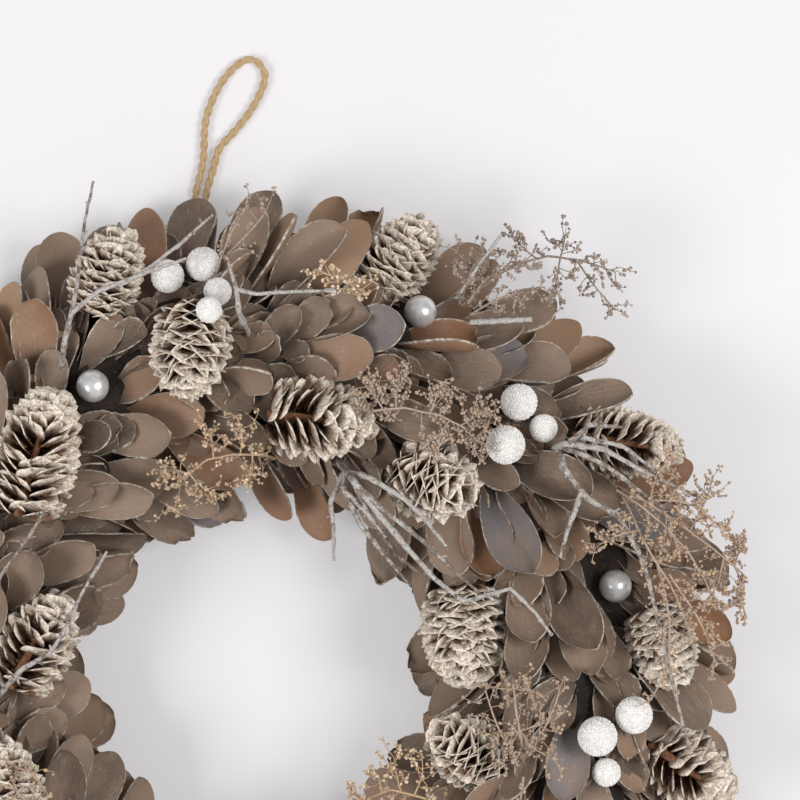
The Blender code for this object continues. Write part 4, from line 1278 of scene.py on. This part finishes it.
# The frosted berries: white balls with grains of glitter glued all round, on short wire
# stalks that meet in one pick.
BERRY_PICKS = (         # x, y, radius, height over the bed (mm)
    ((-32, 147, 6.2, 17), (-19, 151.5, 6.5, 18), (-13, 141, 5.2, 14), (-15.5, 134, 4.8, 6)),
    ((97, 102.5, 6.8, 16), (92, 87, 7.2, 15), (106, 93, 5.2, 14)),
    ((139, -12, 6.9, 16), (125.5, -19.5, 7.3, 15), (129, -33, 5.3, 12)),
)
BERRY_SHRINK = 0.955        # of the ball under the grains
BERRY_STALK_RADIUS = 0.56 * MM
BUTT_RISE = 1.5 * MM
RAISED_BERRY = 70 * MM      # the fourth berry of a pick lies on the cone beside it
GRAIN_SHAPES = 4
GRAIN_SIZE = 1.12 * MM
GRAINS_PER_AREA = 0.85      # in each square millimetre
GOLDEN_ANGLE = 2.399963     # spreads the grains evenly


def mat_height(x, y):
    """The bed's level straight below a plan place."""
    theta = math.atan2(y, x)
    reach = math.hypot(x, y) / facet_shrink(theta) - RING_RADIUS
    for (r0, z0), (r1, z1) in zip(MAT_RIM, MAT_RIM[1:]):
        if r1 <= reach <= r0 and r0 > r1:
            return z0 + (z1 - z0) * (r0 - reach) / (r0 - r1)
    return WIDEST_LEVEL


def slope_normal(x, y):
    """The slope's normal at a plan place on the bed."""
    theta = math.atan2(y, x)
    half = STRAW_HALF_WIDTH + MAT_CLEARANCE + MAT_THICKNESS
    sine = (math.hypot(x, y) - RING_RADIUS) / half
    slope = math.asin(max(-0.97, min(0.97, sine)))
    radial, _, up = clockwise_frame(theta)
    return radial * math.sin(slope) + up * math.cos(slope)


def lumpy_kit(name, lump, scale, offsets):
    """A kit of uneven little balls of size 1, one for each offset in the noise."""
    shapes = []
    for offset in offsets:
        ball = bmesh.new()
        bmesh.ops.create_icosphere(ball, subdivisions=1, radius=0.5)
        for vertex in ball.verts:
            vertex.co *= 1 + lump * noise.noise(vertex.co * scale + Vector(offset))
        shapes.append(solid_object(name, ball))
    return make_kit(name, shapes)


frost_finish, wire, sockets = new_finish("frosted_white", 0.8)
white = wire.stored("tone").between(0.0, 1.0)
connect(white.blend(shade(228, 224, 219), shade(252, 250, 248)), sockets["Base Color"])
connect(relief(wire.coords().speckle(2500.0), 0.1 * MM), sockets["Normal"])

stalk_finish = body_finish("berry_stalk", 0.7, shade(70, 56, 44), shade(112, 94, 78),
                           shade(150, 134, 118), 600.0, 0.1 * MM)

grain_kit = lumpy_kit("grains", 0.3, 3.0, [(5 * k, 0, 0) for k in range(GRAIN_SHAPES)])
number = 0
for turn in (0.0, math.pi):
    whirl = Matrix.Rotation(turn, 3, "Z")
    for berries in BERRY_PICKS:
        number += 1
        node = f"frosted_berries_{number}"
        centres = [Vector((x * MM, y * MM, mat_height(x * MM, y * MM) + tall * MM))
                   for x, y, _, tall in berries]
        top = max(c.z + b[2] * MM for c, b in zip(centres, berries))
        normal = slope_normal(centres[0].x, centres[0].y)
        moved = normal * ((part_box(node)[1].z - top) / normal.z)
        rng = random.Random(700 + number)
        spots, lines = [], []
        balls = bmesh.new()
        root = Vector((centres[0].x, centres[0].y,
                       mat_height(centres[0].x, centres[0].y) + BUTT_RISE))
        for place, (_, _, radius, _) in zip(centres, berries):
            radius *= MM
            middle = whirl @ (place + moved)
            if place is centres[-1] and len(centres) == 4:
                middle.z = RAISED_BERRY
            bmesh.ops.create_icosphere(balls, subdivisions=3, radius=radius * BERRY_SHRINK,
                                       matrix=Matrix.Translation(middle))
            lines.append(([whirl @ (root + moved), middle], (BERRY_STALK_RADIUS,) * 2, 0.2))
            count = round(4 * math.pi * (radius / MM) ** 2 * GRAINS_PER_AREA)
            for step in range(count):
                level = 1 - 2 * (step + 0.5) / count
                ring = math.sqrt(1 - level * level)
                angle = step * GOLDEN_ANGLE + rng.uniform(-0.05, 0.05)
                out = Vector((ring * math.cos(angle), ring * math.sin(angle), level))
                matrix = out.to_track_quat("Z", "Y").to_matrix().to_4x4()
                size = GRAIN_SIZE * rng.uniform(0.7, 1.15)
                matrix.translation = middle + out * (radius - size * 0.42)
                spots.append((matrix, (size,) * 3, rng.randrange(GRAIN_SHAPES),
                              rng.random()))
        solid = solid_object("balls", balls, frost_finish)
        store(solid, "tone", "FLOAT", [0.2] * len(solid.data.vertices))
        grains = plant("grains", grain_kit, spots, frost_finish)
        stalks = rods("stalks", lines, stalk_finish, step=2 * MM)
        dress(join(f"{node}_frost", [solid, grains, stalks]), "frost", node)


# The twigs: thin forked branches with knots, whitewashed so that the bark shows through.
# The sticks of a bundle are wired together at one butt, which is glued to the bed.
TWIG_BUNDLES = (
    (
        ((-71, 113, 56), (-68, 123, 72), (-66, 132, 82), (-64, 142, 84), (-63, 155, 82),
         (-62, 169, 76), (-60, 184, 72)),
        ((-66, 134, 82), (-56, 142, 85), (-41, 148, 86), (-27, 159, 84), (-15, 170, 79)),
        ((-43, 147, 86), (-33, 151, 85), (-24, 154, 84)),
    ),
    (
        ((-2, 126, 56), (-5, 135, 70), (-6, 143, 75), (1, 141, 76), (15, 142, 74),
         (30, 142, 70)),
        ((-6, 142, 75), (-9, 153, 72)),
    ),
    (
        ((28, 83, 58), (36, 74, 74), (45, 65, 76), (59, 54, 74), (71, 43, 72),
         (83, 32, 66)),
        ((30, 80, 60), (42, 75, 76), (55, 67, 78), (62, 60, 78), (70, 50, 74)),
        ((36, 75, 73), (46, 61, 74), (56, 49, 74), (66, 38, 72), (76, 30, 70), (93, 35, 74),
         (102, 26, 74), (108, 18, 70)),
        ((29, 82, 59), (33, 70, 70), (42, 61, 70), (48, 53, 62)),
        ((32, 72, 69), (39, 57, 64), (48, 46, 58), (56, 36, 52)),
        ((29, 82, 58), (28, 66, 62), (29, 55, 56), (29, 44, 46)),
        ((36, 75, 73), (43, 59, 62), (52, 46, 54), (61, 39, 50)),
    ),
    (
        ((108, 84, 60), (113, 87, 74), (127, 85, 80), (143, 76, 80), (163, 67, 72)),
        ((109, 84, 62), (120, 89, 79), (134, 86, 82), (149, 75, 78)),
        ((109, 83, 62), (117, 84, 77), (128, 79, 80), (141, 69, 78), (154, 60, 72)),
        ((109, 82, 62), (112, 78, 72), (121, 67, 80), (132, 61, 84), (139, 49, 84),
         (143, 38, 84), (146, 24, 82), (149, 13, 80), (153, -5, 74), (158, -24, 66)),
        ((114, 88, 76), (122, 94, 80), (134, 93, 82)),
        ((119, 70, 79), (114, 57, 76), (111, 46, 70)),
    ),
    (
        ((-96, -8, 58), (-84, 5, 72), (-74, 11, 76), (-69, 18, 76), (-62, 33, 74),
         (-53, 48, 68)),
        ((-95, -7, 59), (-97, 15, 70), (-91, 39, 76), (-81, 53, 78), (-74, 64, 76)),
    ),
)
TWIG_RADII = (1.1 * MM, 0.5 * MM)
STOUT_BUNDLES = (2, 3)
STOUTNESS = 1.3
FORK_SLIMNESS = 0.85
SPUR_CHANCE = 0.62
SPUR_LENGTH = (1.2, 3.2)
SPUR_RADII = (0.55 * MM, 0.38 * MM)
TWIGS_REPEATED = ((0, 180), (2, -120), (1, 120))
CREST_RISE = 55 * MM
CREST_HALF_WIDTH = 75 * MM
FORK_RANGE = (0.05, 0.95)
BOX_MARGIN = 1.1 * MM


def under_crest(points):
    """A route in metres, lowered where it would stand far above the shavings."""
    route = []
    for point in points:
        spot = Vector(point) * MM
        across = (math.hypot(spot.x, spot.y) - RING_RADIUS) / CREST_HALF_WIDTH
        crest = CREST_RISE * math.sqrt(1 - min(across ** 2, 0.9))
        spot.z = min(spot.z, WIDEST_LEVEL + crest)
        route.append(spot)
    return route


def rooted(points):
    """A route in metres whose first point stands on the bed."""
    route = under_crest(points)
    route[0].z = mat_height(route[0].x, route[0].y) + BUTT_RISE
    return route


def fork_from(point, routes):
    """The nearest place to a point on the sticks that are there already."""
    spots = []
    near, far = FORK_RANGE
    for route in routes:
        for start, end in zip(route, route[1:]):
            run = end - start
            share = max(near, min(far, (point - start).dot(run) / run.length_squared))
            spots.append(start + run * share)
    return min(spots, key=lambda spot: (spot - point).length)


def packed_rise(node, routes, radius):
    """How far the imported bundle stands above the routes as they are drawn."""
    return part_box(node)[1].z - max(p.z for route in routes for p in route) - radius


def boxed(spot):
    """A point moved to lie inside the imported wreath's box, which leaves out the loop."""
    ends = zip(spot, (low.x, low.y, 0.0), (high.x, -low.y, high.z))
    return Vector(min(max(c, a + BOX_MARGIN), b - BOX_MARGIN) for c, a, b in ends)


twig_finish, wire, sockets = new_finish("whitewashed_bark", 0.85)
coords = wire.coords()
patches = coords.speckle(340.0, 4.0, 0.7)
ridges = coords.speckle(1300.0, 3.0, 0.7)
bark = ridges.between(0.3, 0.7).blend(shade(98, 84, 72), shade(142, 128, 116))
wash = ridges.between(0.3, 0.65).blend(shade(150, 143, 136), shade(200, 195, 190))
covered = (patches + wire.stored("tone") * 0.22).between(0.5, 0.68)
connect(covered.blend(bark, wash), sockets["Base Color"])
connect(relief(ridges + patches, 0.35 * MM), sockets["Normal"])

bundles = [(index, 0) for index in range(len(TWIG_BUNDLES))]
for number, (index, turn) in enumerate([*bundles, *TWIGS_REPEATED], 1):
    node = f"twigs_{number}"
    routes = []
    for points in TWIG_BUNDLES[index]:
        route = under_crest(points) if routes else rooted(points)
        if routes:
            route[0] = fork_from(route[0], routes)
        routes.append(route)
    rise = packed_rise(node, routes, TWIG_RADII[1])
    whirl = Matrix.Rotation(math.radians(turn), 3, "Z")
    rng = random.Random(900 + number)
    lines = []
    for stick, route in enumerate(routes):
        placed = [boxed(whirl @ (p + Vector((0, 0, rise)))) for p in route]
        butt = TWIG_RADII[0] * (FORK_SLIMNESS if stick else 1.0)
        butt *= STOUTNESS if index in STOUT_BUNDLES else 1.0
        lines.append((placed, (butt, TWIG_RADII[1]), rng.uniform(0.2, 0.9)))
        for a, b in [pair for pair in zip(placed[1:], placed[2:]) for _ in range(2)]:
            if rng.random() < SPUR_CHANCE:
                start = a.lerp(b, rng.uniform(0.1, 0.9))
                run = (b - a).normalized()
                aside = Vector([rng.uniform(-1, 1) for _ in range(3)]).cross(run)
                end = start + (run * 0.5 + aside) * rng.uniform(*SPUR_LENGTH) * MM
                lines.append(([start, boxed(end)], SPUR_RADII, rng.uniform(0.0, 0.6)))
    twigs = rods(f"{node}_bark", lines, twig_finish, sides=7, step=1.8 * MM,
                 wobble=0.7 * MM, knots=0.5)
    dress(twigs, "limed_twig", node)


# The dried sprays: wiry stems with fine branchlets and tiny seed buds, beige to golden.
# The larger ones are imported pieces; a few tufts and cut sticks are tucked in as well.
SPRAYS = (
    (((11, 80, 58), (3, 83, 66), (-8, 83, 70), (-17, 81, 68), (-26, 74, 62)),
     ((-4, 93, 74), (-17, 94, 74), (-3, 72, 68), (-14, 68, 62), (-29, 61, 52),
      (-34, 76, 60))),
    (((35, 94, 58), (44, 99, 73), (55, 100, 77), (68, 97, 77), (78, 92, 73)),
     ((41, 108, 76), (54, 110, 80), (69, 107, 80), (84, 100, 74), (86, 86, 70),
      (67, 87, 75))),
    (((79, 131, 54), (82, 143, 56), (94, 152, 50), (108, 156, 44), (123, 154, 38)),
     ((73, 158, 52), (95, 163, 48), (114, 162, 40), (133, 150, 34), (133, 136, 32),
      (110, 141, 42))),
    (((126, 74, 62), (139, 68, 74), (154, 58, 70), (168, 48, 58), (179, 39, 46)),
     ((150, 80, 74), (167, 72, 62), (181, 52, 46), (179, 26, 40), (165, 30, 60),
      (147, 50, 74))),
    (((99, -32, 58), (97, -20, 70), (95, -9, 72), (94, 2, 68)),
     ((87, -1, 68), (101, -2, 70), (108, -13, 70), (87, -18, 68), (108, -27, 68),
      (90, -30, 66))),
    (((74, -50, 52), (62, -42, 60), (50, -39, 57), (39, -44, 50)),
     ((51, -27, 52), (61, -26, 54), (44, -32, 52), (36, -42, 46), (46, -49, 50))),
)
SPRAYS_REPEATED = ((1, 180), (3, 180))
SPRAY_LOOKS = (         # twiglets on a branchlet, buds on a twiglet, tone
    (12, 7, 0.7), (19, 8, 0.35), (11, 6, 0.15), (20, 7, 0.52), (10, 6, 0.5), (10, 6, 0.8),
    (19, 8, 0.35), (20, 7, 0.52),
)
SPRAY_RADII = (0.6 * MM, 0.35 * MM)
BRANCHLET_RADII = (0.36 * MM, 0.2 * MM)
SPRAY_TIP_RADIUS = 0.5 * MM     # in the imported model
TUFT_RADII = (0.5 * MM, 0.25 * MM)
TWIGLET_RADIUS = 0.16 * MM
TWIGLET_LENGTH = (4.0, 9.5)
WAY_TRIES = 8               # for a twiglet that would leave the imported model's box
BUD_SHAPES = 3
BUD_SIZE = (0.7 * MM, 1.35 * MM)

spray_finish, wire, sockets = new_finish("dried_spray", 0.85)
grit = wire.coords().speckle(1100.0, 3.0, 0.7)
base = wire.stored("tone").ramp(
    (0.0, shade(112, 98, 88)), (0.2, shade(146, 128, 116)), (0.45, shade(172, 150, 134)),
    (0.65, shade(180, 152, 126)), (0.85, shade(194, 162, 120)), (1.0, shade(228, 208, 184)))
connect((grit.between(0.4, 0.7) * 0.5).blend(base, shade(222, 204, 184)),
        sockets["Base Color"])
connect(relief(grit, 0.2 * MM), sockets["Normal"])

bud_kit = lumpy_kit("buds", 0.45, 2.5, [(7 * k, 3, 1) for k in range(BUD_SHAPES)])


def any_way(rng, flat=0.6):
    """A random direction, flatter than a ball's."""
    return Vector((rng.gauss(0, 1), rng.gauss(0, 1), rng.gauss(0, flat))).normalized()


def grow_spray(name, branches, twiglets, buds, tone, rng):
    """Branches with fine twiglets on them, and seed buds along the twiglets."""
    lines, spots = [], []
    for branch, radii in branches:
        lines.append((branch, radii, tone))
        spans = list(zip(branch, branch[1:]))
        total = route_length(branch)
        for number in range(twiglets):
            reach = (0.12 + 0.88 * (number + rng.random()) / twiglets) * total
            for start, end in spans:
                if reach <= (end - start).length:
                    break
                reach -= (end - start).length
            run = (end - start).normalized()
            origin = start + run * min(reach, (end - start).length)
            size = rng.uniform(*TWIGLET_LENGTH) * MM
            for _ in range(WAY_TRIES):
                way = (run * 0.8 + any_way(rng)).normalized()
                if (boxed(origin + way * size) - origin - way * size).length < 0.3 * MM:
                    break
            bow = any_way(rng) * size * 0.22
            twig = [origin, boxed(origin + way * size * 0.5 + bow),
                    boxed(origin + way * size)]
            lines.append((twig, (TWIGLET_RADIUS * 1.2, TWIGLET_RADIUS * 0.7), tone))
            for bud in range(buds):
                share = 1.0 if bud == 0 else rng.uniform(0.3, 1.0)
                half = int(share > 0.5)
                spot = twig[half].lerp(twig[half + 1], share * 2 - half)
                tip = boxed(spot + any_way(rng, 1.0) * rng.uniform(0.4, 1.5) * MM)
                if over_balls(tip):
                    continue
                lines.append(([spot, tip], (TWIGLET_RADIUS * 0.7,) * 2, tone))
                matrix = any_way(rng, 1.0).to_track_quat("Z", "Y").to_matrix().to_4x4()
                matrix.translation = tip
                bud_size = rng.uniform(*BUD_SIZE)
                spots.append((matrix, (bud_size, bud_size, bud_size * 1.2),
                              rng.randrange(BUD_SHAPES),
                              min(1.0, tone + rng.uniform(-0.15, 0.3))))
    return join(name, [rods("stems", lines, spray_finish, sides=4, step=2.2 * MM,
                            wobble=0.6 * MM),
                       plant("buds", bud_kit, spots, spray_finish)])


sprays = [(index, 0) for index in range(len(SPRAYS))]
for number, (index, turn) in enumerate([*sprays, *SPRAYS_REPEATED], 1):
    node = f"spray_{number}"
    stem, tips = SPRAYS[index]
    route = rooted(stem)
    ends = under_crest(tips)
    lift = Vector((0, 0, packed_rise(node, [route, ends], SPRAY_TIP_RADIUS)))
    whirl = Matrix.Rotation(math.radians(turn), 3, "Z")
    rng = random.Random(1200 + number)
    branches = [([whirl @ (p + lift) for p in route], SPRAY_RADII)]
    for end in ends:
        near_two = sorted(route[1:], key=lambda p: (p - end).length)[:2]
        start = near_two[0] * 0.7 + near_two[1] * 0.3
        middle = start.lerp(end, 0.5) + any_way(rng) * (end - start).length * 0.12
        branches.append(([whirl @ (p + lift) for p in (start, middle, end)],
                         BRANCHLET_RADII))
    twiglets, buds, tone = SPRAY_LOOKS[number - 1]
    dressed = grow_spray(f"{node}_buds", branches, twiglets, buds, tone, rng)
    dress(dressed, "dried_stem", node)

TUFTS = (               # name, points of each branch (mm), twiglets, buds, tone
    ("golden_tuft_top", (((38, 146, 60), (31, 147, 66), (22, 150, 66)),
                         ((36, 146, 60), (34, 143, 66), (40, 143, 67))), 12, 6, 0.88),
    ("low_spray_left", (((-92, -24, 60), (-86, -38, 66), (-80, -44, 66)),
                        ((-88, -30, 62), (-80, -32, 68), (-76, -38, 66))), 9, 5, 0.62),
    ("top_spray", (((-14, 150, 52), (-8, 164, 58), (-2, 174, 56)),
                   ((-10, 156, 52), (2, 168, 56), (6, 176, 52))), 7, 5, 0.3),
    ("silver_spray", (((78, 138, 54), (86, 148, 58), (100, 152, 56)),
                      ((79, 134, 55), (90, 140, 60), (106, 144, 56)),
                      ((76, 140, 52), (80, 152, 54), (88, 158, 52))), 16, 7, 0.2),
    ("golden_cloud_1", (((132, 70, 62), (146, 60, 72), (160, 44, 70), (168, 28, 60)),
                        ((134, 68, 62), (142, 50, 73), (152, 34, 72), (158, 18, 68)),
                        ((136, 66, 64), (156, 66, 70), (170, 56, 62))), 22, 7, 0.56),
    ("golden_cloud_2", (((146, 44, 70), (150, 26, 73), (150, 8, 70), (144, -6, 66)),
                        ((150, 40, 72), (162, 22, 70), (168, 6, 62)),
                        ((140, 56, 70), (132, 54, 72), (124, 50, 68))), 20, 7, 0.5),
    ("seed_spray_low", (((96, -30, 62), (88, -14, 70), (84, -2, 70)),
                        ((100, -26, 64), (108, -10, 72), (112, 2, 70)),
                        ((98, -34, 62), (96, -46, 66), (92, -56, 62))), 9, 5, 0.5),
)
for number, (name, branches, twiglets, buds, tone) in enumerate(TUFTS):
    rng = random.Random(1500 + number)
    placed = [(smooth_route(points, 6), TUFT_RADII) for points in branches]
    dress(grow_spray(name, placed, twiglets, buds, tone, rng), "dried_stem")

CUT_STICKS = (          # points (mm) and radius (mm) of pale sticks cut square
    ("cut_stick_1", ((79, 131, 58), (90, 131.5, 62), (101, 132, 64)), 1.0),
    ("cut_stick_2", ((74, 140, 52), (82, 152, 58), (90, 163, 58)), 0.6),
)
for name, points, radius in CUT_STICKS:
    stick = rods(name, [(smooth_route(points, 8), (radius * MM, radius * MM), 0.9)],
                 twig_finish, sides=8, step=1.2 * MM, wobble=0.5 * MM, knots=0.3)
    dress(stick, "limed_twig")
